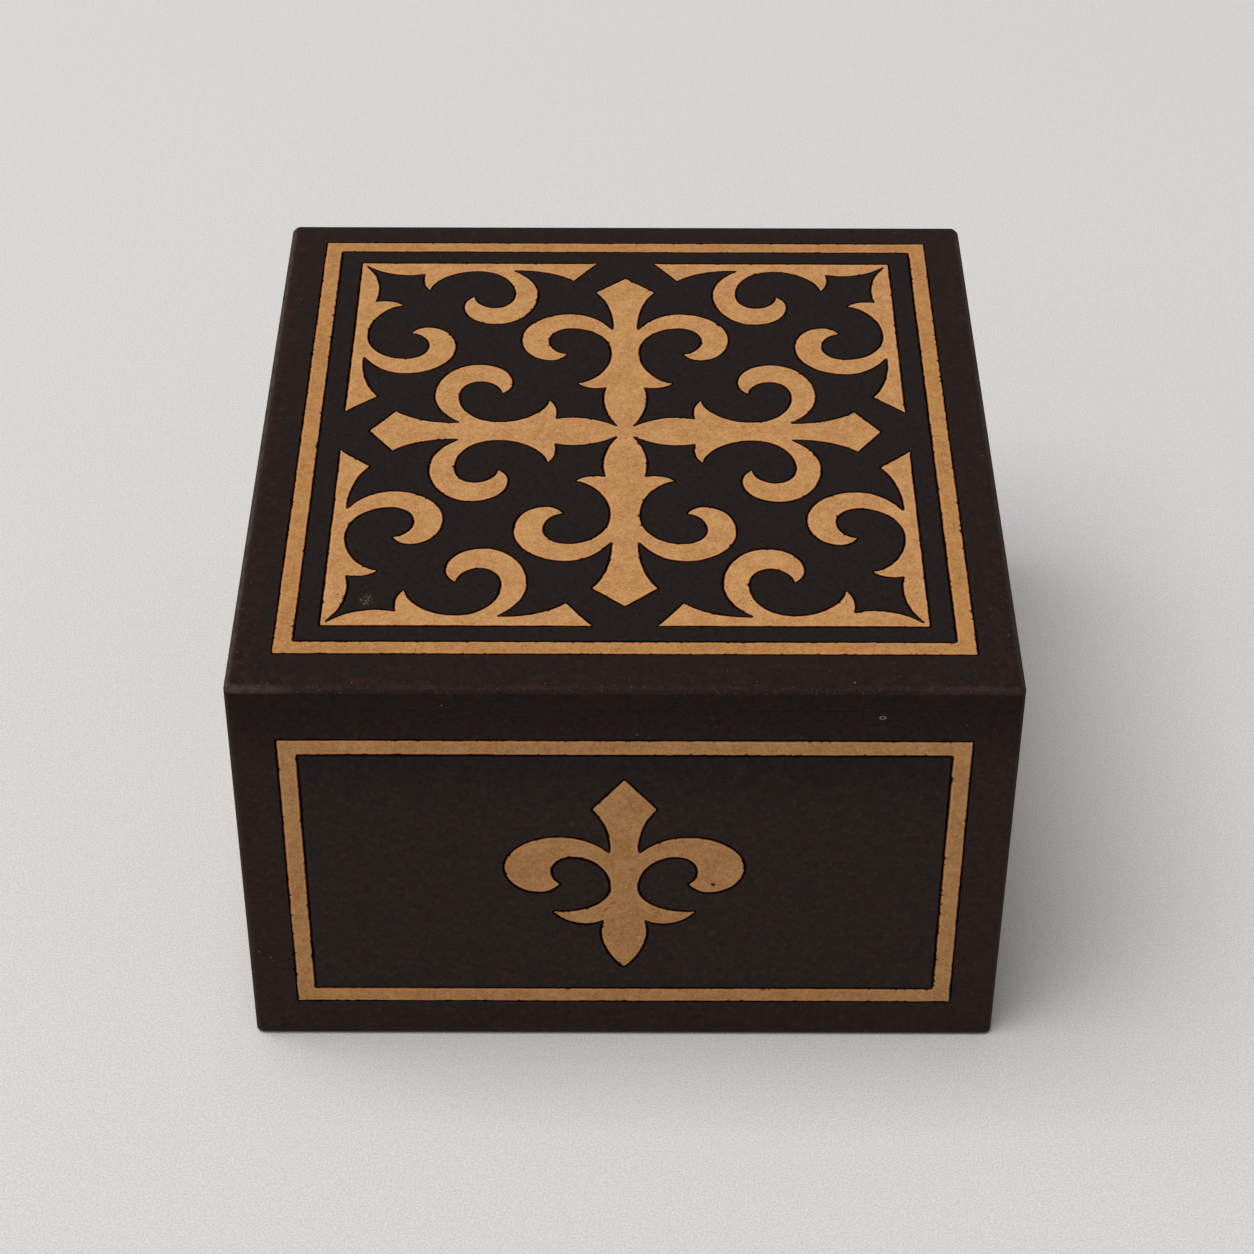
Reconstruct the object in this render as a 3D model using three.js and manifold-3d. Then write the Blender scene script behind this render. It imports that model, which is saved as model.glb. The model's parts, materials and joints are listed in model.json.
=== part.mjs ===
import * as THREE from "three";
import { mergeVertices } from "three/addons/utils/BufferGeometryUtils.js";
import Module from "manifold-3d";

// Puzzle box of dark fibreboard, with tan fibreboard laid flush into its lid and its four sides.
// The lid slides back on two tongues once the lock pins under its front edge are drawn apart.
// Lengths are in millimetres, +Z is up and the front faces -Y.
// The box is drawn closed, with the lock pins drawn back.

const wasm = await Module();
wasm.setup();

// Outside of the closed box
const boxWidth = 105;
const boxDepth = 114;
const boxHeight = 64.7;
const cornerRound = 1.2;
const edgeRound = 0.75;

// Boards
const lidThick = 3.6;
const wallThick = 4;
const baseThick = 3;
const linerThick = 3;
const stripThick = 3;

// Room between pieces: a moving fit, a laser-cut line and a bed of glue
const runClear = 0.3;
const cutWidth = 0.3;
const glueBed = 0.3;

// Inlay
const inlayThick = 1.5;
const frameBand = 2.65;

// Lid inlay: dark margins round the frame, and the dark ring inside it
const lidMarginSide = 5.8;
const lidMarginBack = 5.7;
const lidMarginFront = 7;
const lidRing = 3.25;

// Side inlays: dark margins round the frame, and over and under the fleur inside it
const wallMarginSide = 6.35;
const wallMarginTop = 5.1;
const wallMarginBottom = 6.8;
const fleurMargin = 4.2;

// Strips that hold the lid down
const guideWidth = 3;
const runnerWidth = 3;
const tongueLength = 34;

// Lock
const pinRadius = 2.2;
const pinChamfer = 0.6;
const pinInset = 0.7;
const stopWidth = 7.6;
const lockWall = 2.5;
const keeperThick = 2.2;
const keeperHalfWidth = 8;
const lockSideClear = 0.8;

// Steps of the round edges, of each curve of the ornament and round a pin
const roundSteps = 2;
const curveSteps = 4;
const pinSides = 16;

// Cuts run this far past what they cut
const overrun = 5;

// Longest mitre of an outline that is moved sideways, as a share of the move
const mitreLimitShare = 4;

// How far the lid's cross and its corner pieces reach, as shares of the outline that follows
const crossSizeShare = 0.988;
const cornerAlongShare = 0.974;
const cornerAcrossShare = 0.989;

// One side of a fleur of the lid's ornament, from its root out to the notch under its head.
// Each row is one curve: two handles and its end, as [across, along] shares of half the field.
const crossStartShare = [0.028, 0.028];
const crossCurveShares = [
  // bulb
  [[0.068, 0.08], [0.095, 0.175], [0.07, 0.25]],
  // under and over the barb
  [[0.099, 0.239], [0.152, 0.243], [0.175, 0.275]],
  [[0.114, 0.285], [0.051, 0.364], [0.053, 0.455]],
  // inside of the scroll, to its tip
  [[0.053, 0.541], [0.118, 0.602], [0.199, 0.602]],
  [[0.247, 0.602], [0.282, 0.569], [0.282, 0.528]],
  [[0.282, 0.486], [0.25, 0.452], [0.213, 0.448]],
  // outside of the scroll, from its tip to the notch
  [[0.224, 0.425], [0.247, 0.409], [0.273, 0.409]],
  [[0.342, 0.409], [0.385, 0.467], [0.385, 0.537]],
  [[0.385, 0.63], [0.296, 0.693], [0.205, 0.693]],
  [[0.133, 0.693], [0.082, 0.649], [0.047, 0.594]],
  // side of the head
  [[0.044, 0.683], [0.068, 0.774], [0.114, 0.827]],
];
const crossTipShare = [0, 0.918];

// The corner pieces carry the same half fleurs along the edges of the field, from this root
const cornerStartShare = [0.016, 0.016];

// One side of a fleur of the box's sides, from its foot up to the notch under its head,
// as [across, up] shares of half its height
const fleurStartShare = [0, -1];
const fleurCurveShares = [
  // bulb
  [[0.1, -0.92], [0.235, -0.68], [0.165, -0.485]],
  // under and over the barb
  [[0.25, -0.56], [0.475, -0.535], [0.56, -0.385]],
  [[0.375, -0.4], [0.11, -0.33], [0.11, -0.12]],
  // inside of the scroll, to its tip
  [[0.11, 0.04], [0.24, 0.19], [0.4, 0.19]],
  [[0.5, 0.19], [0.565, 0.12], [0.565, 0.035]],
  [[0.565, -0.02], [0.54, -0.06], [0.495, -0.09]],
  // outside of the scroll, from its tip to the notch
  [[0.535, -0.15], [0.59, -0.185], [0.655, -0.185]],
  [[0.825, -0.185], [0.935, -0.06], [0.935, 0.08]],
  [[0.935, 0.25], [0.75, 0.405], [0.51, 0.405]],
  [[0.34, 0.405], [0.22, 0.345], [0.115, 0.235]],
  // side of the head
  [[0.1, 0.42], [0.16, 0.58], [0.255, 0.69]],
];
const fleurTipShare = [0, 1];

// Inside of the walls, and of the liners against them
const innerHalfWidth = boxWidth / 2 - wallThick;
const innerHalfDepth = boxDepth / 2 - wallThick;
const linerHalfWidth = innerHalfWidth - linerThick;
const linerHalfDepth = innerHalfDepth - linerThick;

// Levels, from the lid down
const lidUnder = boxHeight - lidThick;
const wallTop = lidUnder - runClear;
const guideUnder = wallTop - stripThick;
const tongueTop = guideUnder - runClear;
const tongueUnder = tongueTop - stripThick;
const linerTop = tongueUnder - runClear;

// The lid's strips, from the side walls inwards
const tongueOuter = innerHalfWidth - runClear;
const runnerOuter = innerHalfWidth - guideWidth - runClear;
const runnerInner = runnerOuter - runnerWidth;
const tongueFront = -innerHalfDepth + runClear;
const tongueBack = tongueFront + tongueLength;

// The lock's channel: its level, its front and rear walls, and its two ends
const pinBore = 2 * (pinRadius + runClear);
const shelfTop = guideUnder - pinBore;
const shelfUnder = shelfTop - stripThick;
const channelFront = -innerHalfDepth + lockWall;
const channelBack = channelFront + pinBore;
const shelfBack = channelBack + lockWall;
const lockInner = keeperHalfWidth + lockSideClear;
const lockOuter = runnerInner - lockSideClear;
const pinNose = lockInner + pinInset;
const pinStop = lockOuter - stopWidth;
const pinLength = pinStop - runClear - pinNose;

// The inlays
const pocketDepth = inlayThick + glueBed;
const lidFrame = {
  halfWidth: boxWidth / 2 - lidMarginSide,
  halfHeight: (boxDepth - lidMarginBack - lidMarginFront) / 2,
};
const lidCentreY = (lidMarginFront - lidMarginBack) / 2;
const wallFrameHalfHeight = (wallTop - wallMarginTop - wallMarginBottom) / 2;
const wallCentreZ = wallMarginBottom + wallFrameHalfHeight;
const fleurHalfHeight = wallFrameHalfHeight - frameBand - fleurMargin;

const darkBoard = new THREE.MeshStandardMaterial({ color: 0x2e2422, roughness: 0.7, metalness: 0 });
const darkField = new THREE.MeshStandardMaterial({ color: 0x2b2725, roughness: 0.7, metalness: 0 });
const tanInlay = new THREE.MeshStandardMaterial({ color: 0xb58a58, roughness: 0.75, metalness: 0 });
const naturalBoard = new THREE.MeshStandardMaterial({ color: 0xa98458, roughness: 0.8, metalness: 0 });
const pinSteel = new THREE.MeshStandardMaterial({ color: 0xb4b6b8, roughness: 0.35, metalness: 1 });

function piece(name, geometry, material) {
  const mesh = new THREE.Mesh(geometry, material.clone());
  mesh.name = name;
  return mesh;
}

// A unit box stretched between two corners
function boxGeometry(low, high) {
  const lowest = new THREE.Vector3(...low);
  const highest = new THREE.Vector3(...high);
  const size = highest.clone().sub(lowest);
  const centre = highest.clone().add(lowest).divideScalar(2);
  const stretch = new THREE.Matrix4().makeScale(size.x, size.y, size.z).setPosition(centre);
  return new THREE.BoxGeometry(1, 1, 1).applyMatrix4(stretch);
}

function strip(name, low, high) {
  return piece(name, boxGeometry(low, high), naturalBoard);
}

// The two strips of a left and right pair, from the place of the right one
function stripPair(name, [innerX, lowY, lowZ], [outerX, highY, highZ]) {
  return [
    strip(`${name}_left`, [-outerX, lowY, lowZ], [-innerX, highY, highZ]),
    strip(`${name}_right`, [innerX, lowY, lowZ], [outerX, highY, highZ]),
  ];
}

function solidOf(geometry) {
  const bare = geometry.clone();
  bare.deleteAttribute("normal");
  bare.deleteAttribute("uv");
  const merged = mergeVertices(bare);
  return new wasm.Manifold(new wasm.Mesh({
    numProp: 3,
    vertProperties: new Float32Array(merged.attributes.position.array),
    triVerts: new Uint32Array(merged.index.array),
  }));
}

function geometryOf(solid) {
  const mesh = solid.getMesh();
  const merged = new THREE.BufferGeometry();
  merged.setAttribute("position", new THREE.BufferAttribute(mesh.vertProperties, 3));
  merged.setIndex(new THREE.BufferAttribute(mesh.triVerts, 1));
  const geometry = merged.toNonIndexed();
  geometry.computeVertexNormals();
  return geometry;
}

// The whole outside of the box, with its upright corners and its top and bottom edges rounded
function roundedBlock() {
  const halfWidth = boxWidth / 2;
  const halfDepth = boxDepth / 2;
  const outline = new THREE.Shape();
  outline.absarc(halfWidth - cornerRound, halfDepth - cornerRound, cornerRound, 0, Math.PI / 2);
  outline.absarc(cornerRound - halfWidth, halfDepth - cornerRound, cornerRound, Math.PI / 2, Math.PI);
  outline.absarc(cornerRound - halfWidth, cornerRound - halfDepth, cornerRound, Math.PI, 3 * Math.PI / 2);
  outline.absarc(halfWidth - cornerRound, cornerRound - halfDepth, cornerRound, 3 * Math.PI / 2, 2 * Math.PI);
  const geometry = new THREE.ExtrudeGeometry(outline, {
    depth: boxHeight - 2 * edgeRound,
    bevelThickness: edgeRound,
    bevelSize: edgeRound,
    bevelOffset: -edgeRound,
    bevelSegments: roundSteps,
    curveSegments: 2 * roundSteps,
  });
  return solidOf(geometry.translate(0, 0, edgeRound));
}

// A board is the part of the rounded block inside a box, less the pocket for its inlay
function inlaidBoard(name, block, low, high, pocket) {
  const board = block.intersect(solidOf(boxGeometry(low, high))).subtract(solidOf(pocket));
  return piece(name, geometryOf(board), darkBoard);
}

// One side of a fleur as points, each curve in equal steps
function fleurSide(start, curves, tip) {
  const path = new THREE.Path();
  path.moveTo(...start);
  for (const [firstHandle, secondHandle, end] of curves) {
    path.bezierCurveTo(...firstHandle, ...secondHandle, ...end);
  }
  path.lineTo(...tip);
  return path.getPoints(curveSteps);
}

// A fleur on its own: one side up to the tip, and its mirror image back to the foot
function fleurOutline(halfHeight) {
  const side = fleurSide(fleurStartShare, fleurCurveShares, fleurTipShare);
  const mirrored = side.slice(1, -1).reverse().map((point) => new THREE.Vector2(-point.x, point.y));
  return [...side, ...mirrored].map((point) => point.clone().multiplyScalar(halfHeight));
}

// Four fleurs joined at the middle: each arm is both sides of a fleur, turned a quarter at a time
function crossOutline(halfWidth, halfHeight) {
  const side = fleurSide(crossStartShare, crossCurveShares, crossTipShare);
  const mirrored = side.slice(1, -1).reverse().map((point) => new THREE.Vector2(-point.x, point.y));
  const points = [];
  let arm = [...side, ...mirrored];
  for (let quarter = 0; quarter < 4; quarter += 1) {
    points.push(...arm);
    arm = arm.map((point) => new THREE.Vector2(-point.y, point.x));
  }
  const size = new THREE.Vector2(halfWidth, halfHeight).multiplyScalar(crossSizeShare);
  return points.map((point) => point.clone().multiply(size));
}

// A corner piece: half a fleur along each of the two edges that meet in the field's corner.
// sideX and sideY are 1 or -1 and pick the corner.
function cornerOutline(halfWidth, halfHeight, sideX, sideY) {
  const inwards = fleurSide(crossStartShare, crossCurveShares, crossTipShare);
  inwards.shift();
  const size = new THREE.Vector2(cornerAcrossShare, cornerAlongShare);
  const alongY = inwards.map((point) => point.clone().multiply(size));
  const alongX = alongY.map((point) => new THREE.Vector2(point.y, point.x)).reverse();
  const start = new THREE.Vector2(...cornerStartShare);
  const points = [new THREE.Vector2(0, 0), ...alongX, start, ...alongY].map((point) => new THREE.Vector2(
    sideX * halfWidth * (1 - point.x),
    sideY * halfHeight * (1 - point.y),
  ));
  return sideX === sideY ? points : points.reverse();
}

// The outline of a rectangle round the middle, counter-clockwise as all the outlines are
function rectangleOutline(halfWidth, halfHeight) {
  return [
    new THREE.Vector2(-halfWidth, -halfHeight),
    new THREE.Vector2(halfWidth, -halfHeight),
    new THREE.Vector2(halfWidth, halfHeight),
    new THREE.Vector2(-halfWidth, halfHeight),
  ];
}

function outwardNormal(from, to) {
  return new THREE.Vector2(to.y - from.y, from.x - to.x).normalize();
}

// Moves each point of an outline sideways, so that its edges lie the distance further out
function grown(points, distance) {
  return points.map((point, index) => {
    const before = points.at(index - 1);
    const after = points[(index + 1) % points.length];
    const middle = outwardNormal(before, point).add(outwardNormal(point, after));
    const mitreShare = Math.min(2 / middle.lengthSq(), mitreLimitShare / middle.length());
    return point.clone().addScaledVector(middle, distance * mitreShare);
  });
}

// A flat piece between two levels
function plate(outline, under, over) {
  const geometry = new THREE.ExtrudeGeometry(new THREE.Shape(outline), {
    depth: over - under,
    bevelEnabled: false,
  });
  return geometry.translate(0, 0, under);
}

// A laser-cut piece: its outline lies half a cut inside the drawn line, and its holes half a cut outside
function inlay(name, outline, holes, material) {
  let solid = solidOf(plate(grown(outline, -cutWidth / 2), -inlayThick, 0));
  for (const hole of holes) {
    solid = solid.subtract(solidOf(plate(grown(hole, cutWidth / 2), -inlayThick - overrun, overrun)));
  }
  return piece(name, geometryOf(solid), material);
}

// The tan frame, the dark field in it, and the tan pieces in the field
function inlaySet(name, frame, figures) {
  const outer = rectangleOutline(frame.halfWidth, frame.halfHeight);
  const inner = rectangleOutline(frame.halfWidth - frameBand, frame.halfHeight - frameBand);
  return [
    inlay(`${name}_frame_inlay`, outer, [inner], tanInlay),
    inlay(`${name}_field_inlay`, inner, figures.map((figure) => figure.outline), darkField),
    ...figures.map((figure) => inlay(`${name}_${figure.name}_inlay`, figure.outline, [], tanInlay)),
  ];
}

// The pocket that an inlay set lies in, open past the surface
function pocketGeometry(frame) {
  const halfWidth = frame.halfWidth + cutWidth / 2;
  const halfHeight = frame.halfHeight + cutWidth / 2;
  return boxGeometry([-halfWidth, -halfHeight, -pocketDepth], [halfWidth, halfHeight, overrun]);
}

// A group whose local X runs along a face, Y up it and Z out of it
function faceGroup(position, turn) {
  const group = new THREE.Group();
  group.position.set(...position);
  group.rotation.set(...turn);
  group.updateMatrix();
  return group;
}

// The lid: an inlaid board with its strips and the two keeper cheeks under it
function makeLid(block) {
  const face = faceGroup([0, lidCentreY, boxHeight], [0, 0, 0]);
  const fieldHalfWidth = lidFrame.halfWidth - frameBand - lidRing;
  const fieldHalfHeight = lidFrame.halfHeight - frameBand - lidRing;
  const figures = [{ name: "cross", outline: crossOutline(fieldHalfWidth, fieldHalfHeight) }];
  for (const [nameY, sideY] of [["front", -1], ["back", 1]]) {
    for (const [nameX, sideX] of [["left", -1], ["right", 1]]) {
      const outline = cornerOutline(fieldHalfWidth, fieldHalfHeight, sideX, sideY);
      figures.push({ name: `corner_${nameY}_${nameX}`, outline });
    }
  }
  face.add(...inlaySet("lid", lidFrame, figures));

  const low = [-boxWidth / 2 - overrun, -boxDepth / 2 - overrun, lidUnder];
  const high = [boxWidth / 2 + overrun, boxDepth / 2 + overrun, boxHeight + overrun];
  const pocket = pocketGeometry(lidFrame).applyMatrix4(face.matrix);
  const keeperUnder = shelfTop + runClear;
  const keeperFront = channelFront - keeperThick;
  const lid = new THREE.Group();
  lid.add(
    face,
    inlaidBoard("lid_board", block, low, high, pocket),
    ...stripPair("lid_runner", [runnerInner, tongueFront, tongueTop], [runnerOuter, tongueBack, lidUnder]),
    ...stripPair("lid_tongue", [runnerInner, tongueFront, tongueUnder], [tongueOuter, tongueBack, tongueTop]),
    strip("lid_keeper_front", [-keeperHalfWidth, keeperFront, keeperUnder],
      [keeperHalfWidth, channelFront, lidUnder]),
    strip("lid_keeper_rear", [-keeperHalfWidth, channelBack, keeperUnder],
      [keeperHalfWidth, channelBack + keeperThick, lidUnder]),
  );
  return lid;
}

// The four walls: the front and back boards run the full width, and the side boards stand between them
function makeWalls(block) {
  const outX = boxWidth / 2 + overrun;
  const outY = boxDepth / 2 + overrun;
  const walls = [
    { name: "front", angle: 0, low: [-outX, -outY, -overrun], high: [outX, -innerHalfDepth, wallTop] },
    { name: "right", angle: Math.PI / 2, low: [innerHalfWidth, -innerHalfDepth, -overrun],
      high: [outX, innerHalfDepth, wallTop] },
    { name: "back", angle: Math.PI, low: [-outX, innerHalfDepth, -overrun], high: [outX, outY, wallTop] },
    { name: "left", angle: -Math.PI / 2, low: [-outX, -innerHalfDepth, -overrun],
      high: [-innerHalfWidth, innerHalfDepth, wallTop] },
  ];
  const group = new THREE.Group();
  for (const { name, angle, low, high } of walls) {
    const outward = new THREE.Vector2(Math.round(Math.sin(angle)), -Math.round(Math.cos(angle)));
    const place = [outward.x * boxWidth / 2, outward.y * boxDepth / 2, wallCentreZ];
    const face = faceGroup(place, [Math.PI / 2, angle, 0]);
    const faceWidth = outward.x === 0 ? boxWidth : boxDepth;
    const frame = { halfWidth: faceWidth / 2 - wallMarginSide, halfHeight: wallFrameHalfHeight };
    face.add(...inlaySet(name, frame, [{ name: "fleur", outline: fleurOutline(fleurHalfHeight) }]));
    const pocket = pocketGeometry(frame).applyMatrix4(face.matrix);
    group.add(face, inlaidBoard(`${name}_board`, block, low, high, pocket));
  }
  return group;
}

// The base, the liners against the walls, and the guides over the lid's tongues
function makeInside() {
  const group = new THREE.Group();
  group.add(
    strip("base_board", [-innerHalfWidth, -innerHalfDepth, 0], [innerHalfWidth, innerHalfDepth, baseThick]),
    strip("front_liner", [-linerHalfWidth, -innerHalfDepth, baseThick],
      [linerHalfWidth, -linerHalfDepth, shelfUnder]),
    strip("back_liner", [-linerHalfWidth, linerHalfDepth, baseThick],
      [linerHalfWidth, innerHalfDepth, linerTop]),
    ...stripPair("side_liner", [linerHalfWidth, -innerHalfDepth, baseThick],
      [innerHalfWidth, innerHalfDepth, linerTop]),
    ...stripPair("lid_guide", [innerHalfWidth - guideWidth, -innerHalfDepth, guideUnder],
      [innerHalfWidth, innerHalfDepth, wallTop]),
  );
  return group;
}

// The lock's housing: a shelf across the front, and on each side of the keeper a channel of strips
function makeLockHousing() {
  const group = new THREE.Group();
  group.add(
    strip("lock_shelf", [-linerHalfWidth, -innerHalfDepth, shelfUnder], [linerHalfWidth, shelfBack, shelfTop]),
    ...stripPair("lock_front_guide", [lockInner, -innerHalfDepth, shelfTop],
      [lockOuter, channelFront, guideUnder]),
    ...stripPair("lock_rear_guide", [lockInner, channelBack, shelfTop], [lockOuter, shelfBack, guideUnder]),
    ...stripPair("lock_end_stop", [pinStop, channelFront, shelfTop], [lockOuter, channelBack, guideUnder]),
    ...stripPair("lock_cap", [lockInner, -innerHalfDepth, guideUnder], [lockOuter, shelfBack, wallTop]),
  );
  return group;
}

// A turned steel pin that lies along X, with its nose towards the middle; side is 1 or -1
function lockPin(name, side) {
  const profile = [
    new THREE.Vector2(0, 0),
    new THREE.Vector2(pinRadius - pinChamfer, 0),
    new THREE.Vector2(pinRadius, pinChamfer),
    new THREE.Vector2(pinRadius, pinLength - pinChamfer),
    new THREE.Vector2(pinRadius - pinChamfer, pinLength),
    new THREE.Vector2(0, pinLength),
  ];
  const pin = piece(name, new THREE.LatheGeometry(profile, pinSides), pinSteel);
  pin.rotation.z = -side * Math.PI / 2;
  pin.position.set(side * pinNose, (channelFront + channelBack) / 2, (shelfTop + guideUnder) / 2);
  return pin;
}

const block = roundedBlock();
const puzzleBox = new THREE.Group();
puzzleBox.add(
  makeLid(block),
  makeWalls(block),
  makeInside(),
  makeLockHousing(),
  lockPin("lock_pin_left", -1),
  lockPin("lock_pin_right", 1),
);

export default puzzleBox;
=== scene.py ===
import json
import math

import bpy
import numpy as np
from mathutils import Matrix, Vector
from mathutils.geometry import delaunay_2d_cdt


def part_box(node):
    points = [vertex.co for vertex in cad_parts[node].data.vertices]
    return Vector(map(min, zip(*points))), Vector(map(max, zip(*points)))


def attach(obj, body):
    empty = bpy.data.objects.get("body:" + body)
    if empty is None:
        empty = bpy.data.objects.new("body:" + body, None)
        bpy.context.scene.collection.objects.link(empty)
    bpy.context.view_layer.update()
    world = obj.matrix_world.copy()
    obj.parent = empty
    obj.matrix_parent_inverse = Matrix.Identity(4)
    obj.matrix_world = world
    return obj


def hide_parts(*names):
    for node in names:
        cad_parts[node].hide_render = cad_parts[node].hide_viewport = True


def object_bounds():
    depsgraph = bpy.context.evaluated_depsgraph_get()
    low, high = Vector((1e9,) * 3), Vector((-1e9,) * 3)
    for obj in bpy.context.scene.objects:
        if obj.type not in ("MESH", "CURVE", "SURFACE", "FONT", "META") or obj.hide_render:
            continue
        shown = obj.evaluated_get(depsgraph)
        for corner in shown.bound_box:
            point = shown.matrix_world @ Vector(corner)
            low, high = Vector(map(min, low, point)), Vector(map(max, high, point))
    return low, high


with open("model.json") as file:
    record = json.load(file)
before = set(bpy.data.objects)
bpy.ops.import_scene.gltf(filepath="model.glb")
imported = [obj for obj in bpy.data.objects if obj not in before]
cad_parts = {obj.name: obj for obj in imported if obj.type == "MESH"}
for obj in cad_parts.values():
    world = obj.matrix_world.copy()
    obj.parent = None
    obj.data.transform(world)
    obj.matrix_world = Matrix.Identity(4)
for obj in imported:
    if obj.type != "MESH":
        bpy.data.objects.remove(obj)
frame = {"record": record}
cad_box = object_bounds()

bl_info = {
    "name": "Puzzle Box Finish",
    "version": (1, 0, 0),
    "blender": (4, 5, 0),
    "location": "View3D > Sidebar > Puzzle Box",
    "description": "Dresses the packed solids of an inlaid puzzle box with finely cut, finished pieces",
    "category": "Object",
}

# Sizes and places, in metres

MM = 0.001
CAD_CUT = 0.3 * MM  # the solids keep this gap along each drawn line
FLEUR_MARGIN = 4.2 * MM  # from the field's drawn edge to the tips of a side's fleur
POINT_STEP = 0.15 * MM  # spacing of points along a cut
LEAST_CUT = 0.02 * MM  # a board begins at least this far from its drawn line
CHIP_FOOT = 0.4 * MM  # depth below the face at which chips begin
UNDERSIDE_ROUND = 0.1 * MM  # chamfer round the underside of an inlay
BURNT_DOWN = 0.004 * MM  # how far an inlay's burnt rim lies below its face
LEAD = 0.05 * MM  # from a ring on a plain side to the edge or groove that follows it
LIP_INSETS, LIP_STEP = (0.1 * MM, 0.02 * MM), 0.03 * MM  # places of the rings under the lid beside its lip
SLAB_CORNER = 0.2 * MM  # corner radius of the inner boards
PIN_CHAMFER = 0.3 * MM
DRILL_RADIUS = 0.45 * MM
GROOVE_AT = 3 * MM  # from a pin's outer end to its groove
LID_FACE = 64.7 * MM
BOARD_SHADE_TURN, FIELD_SHADE_TURN = 50.8 * MM, 42 * MM  # heights from which the stain is darkened, evenly more towards the top, to its level on the lid: painted shade
WEAR_AND_SHEEN_FADE = (-53 * MM, -38 * MM)  # places across the box between which the lid's edge is rubbed less and less, and its painted sheen fades
SHEEN_RISE = (34 * MM, 50 * MM)  # places between which its painted sheen grows again

# Counts, shares and angles

SEED = 816
CURVE_STEPS = 14
ROUND_STEPS = 10
NOSE_STEPS = 9
PIN_SIDES = 96
FILL_INSIDE = 1  # of the kinds of filling with triangles, the one that stops at the outline
NEAR_POINTS = 50  # up to here along a cut every point is looked at for its other side
FAR_STRIDE = 3  # and beyond it every third
ROOM_SHARE = 0.66  # of the local room, the most that a ring may use
CROSS_SHARE = 0.988  # the cross against the room it has
CORNER_ACROSS, CORNER_ALONG = 0.989, 0.974  # the same for a corner piece
EASED_ANGLES = (62, 53, 49, 46, 43, 39, 34, 28, 22, 15, 8, 2)  # directions along the lid's eased edge
EDGE_RUB_AND_SHEEN = (0.4, 1, 1, 1, 1, 0.85, 0.5, 0.2)  # how rubbed its first rings are, and how strongly the painted sheen lies on them; the others not at all
WAVES = ((0.7, 0.3 * MM), (0.5, 2.5 * MM))  # shares and lengths of the unevenness of a cut
CHIP_HALVES = (0.1, 0.32)  # least and greatest half length of a chip, in millimetres
CHIP_ROOTS = (0.25, 1)  # least and greatest root of the share of the full depth that a chip has
CHIPPED, CHIPPED_MORE = 0.7, 0.5  # depth of chips on any side, and what the rough side adds
TOP_CHIPPED = 0.4  # share of a chip's depth that the ring where the char ends moves in
FRAME_CHIPS, FIELD_CHIPS, ORNAMENT_CHIPS, POCKET_CHIPS = 1.0, 0.25, 0.45, 0.35  # how often an edge is chipped
TAN_CHAR, FIELD_CHAR, POCKET_CHAR = (0.8, 0.45, 0.25), (0.9, 0.55), (0.75, 0.3, 0.12)  # char over an arris

# Each row is one cubic curve, as its two handles and its end, in shares [across, along].
CROSS_START = 0.028 + 0.028j
CROSS_CURVES = [
    # bulb
    [[0.068, 0.08], [0.095, 0.175], [0.07, 0.25]],
    # under and over the barb
    [[0.099, 0.239], [0.152, 0.243], [0.175, 0.275]],
    [[0.114, 0.285], [0.051, 0.364], [0.053, 0.455]],
    # inside of the scroll, to its tip
    [[0.053, 0.541], [0.118, 0.602], [0.199, 0.602]],
    [[0.247, 0.602], [0.282, 0.569], [0.282, 0.528]],
    [[0.282, 0.486], [0.25, 0.452], [0.213, 0.448]],
    # outside of the scroll, from its tip to the notch
    [[0.224, 0.425], [0.247, 0.409], [0.273, 0.409]],
    [[0.342, 0.409], [0.385, 0.467], [0.385, 0.537]],
    [[0.385, 0.63], [0.296, 0.693], [0.205, 0.693]],
    [[0.133, 0.693], [0.082, 0.649], [0.047, 0.594]],
    # side of the head
    [[0.044, 0.683], [0.068, 0.774], [0.114, 0.827]],
]
CROSS_TIP = 0.918j
CORNER_START = 0.018 + 0.018j
CORNER_SKIP = 3  # samples of the bulb that the corner's own root takes the place of
FLEUR_START = -1j
FLEUR_CURVES = [
    # foot, and over the barb
    [[0.1, -0.92], [0.235, -0.68], [0.165, -0.485]],
    [[0.25, -0.56], [0.475, -0.535], [0.56, -0.385]],
    [[0.375, -0.4], [0.11, -0.33], [0.11, -0.12]],
    # inside of the scroll, to its tip
    [[0.11, 0.04], [0.24, 0.19], [0.4, 0.19]],
    [[0.5, 0.19], [0.565, 0.12], [0.565, 0.035]],
    [[0.565, -0.02], [0.54, -0.06], [0.495, -0.09]],
    # outside of the scroll, from its tip to the notch
    [[0.535, -0.15], [0.59, -0.185], [0.655, -0.185]],
    [[0.825, -0.185], [0.935, -0.06], [0.935, 0.08]],
    [[0.935, 0.25], [0.75, 0.405], [0.51, 0.405]],
    [[0.34, 0.405], [0.22, 0.345], [0.115, 0.235]],
    # side of the head
    [[0.1, 0.42], [0.16, 0.58], [0.255, 0.69]],
]
FLEUR_TIP = 1j

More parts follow.
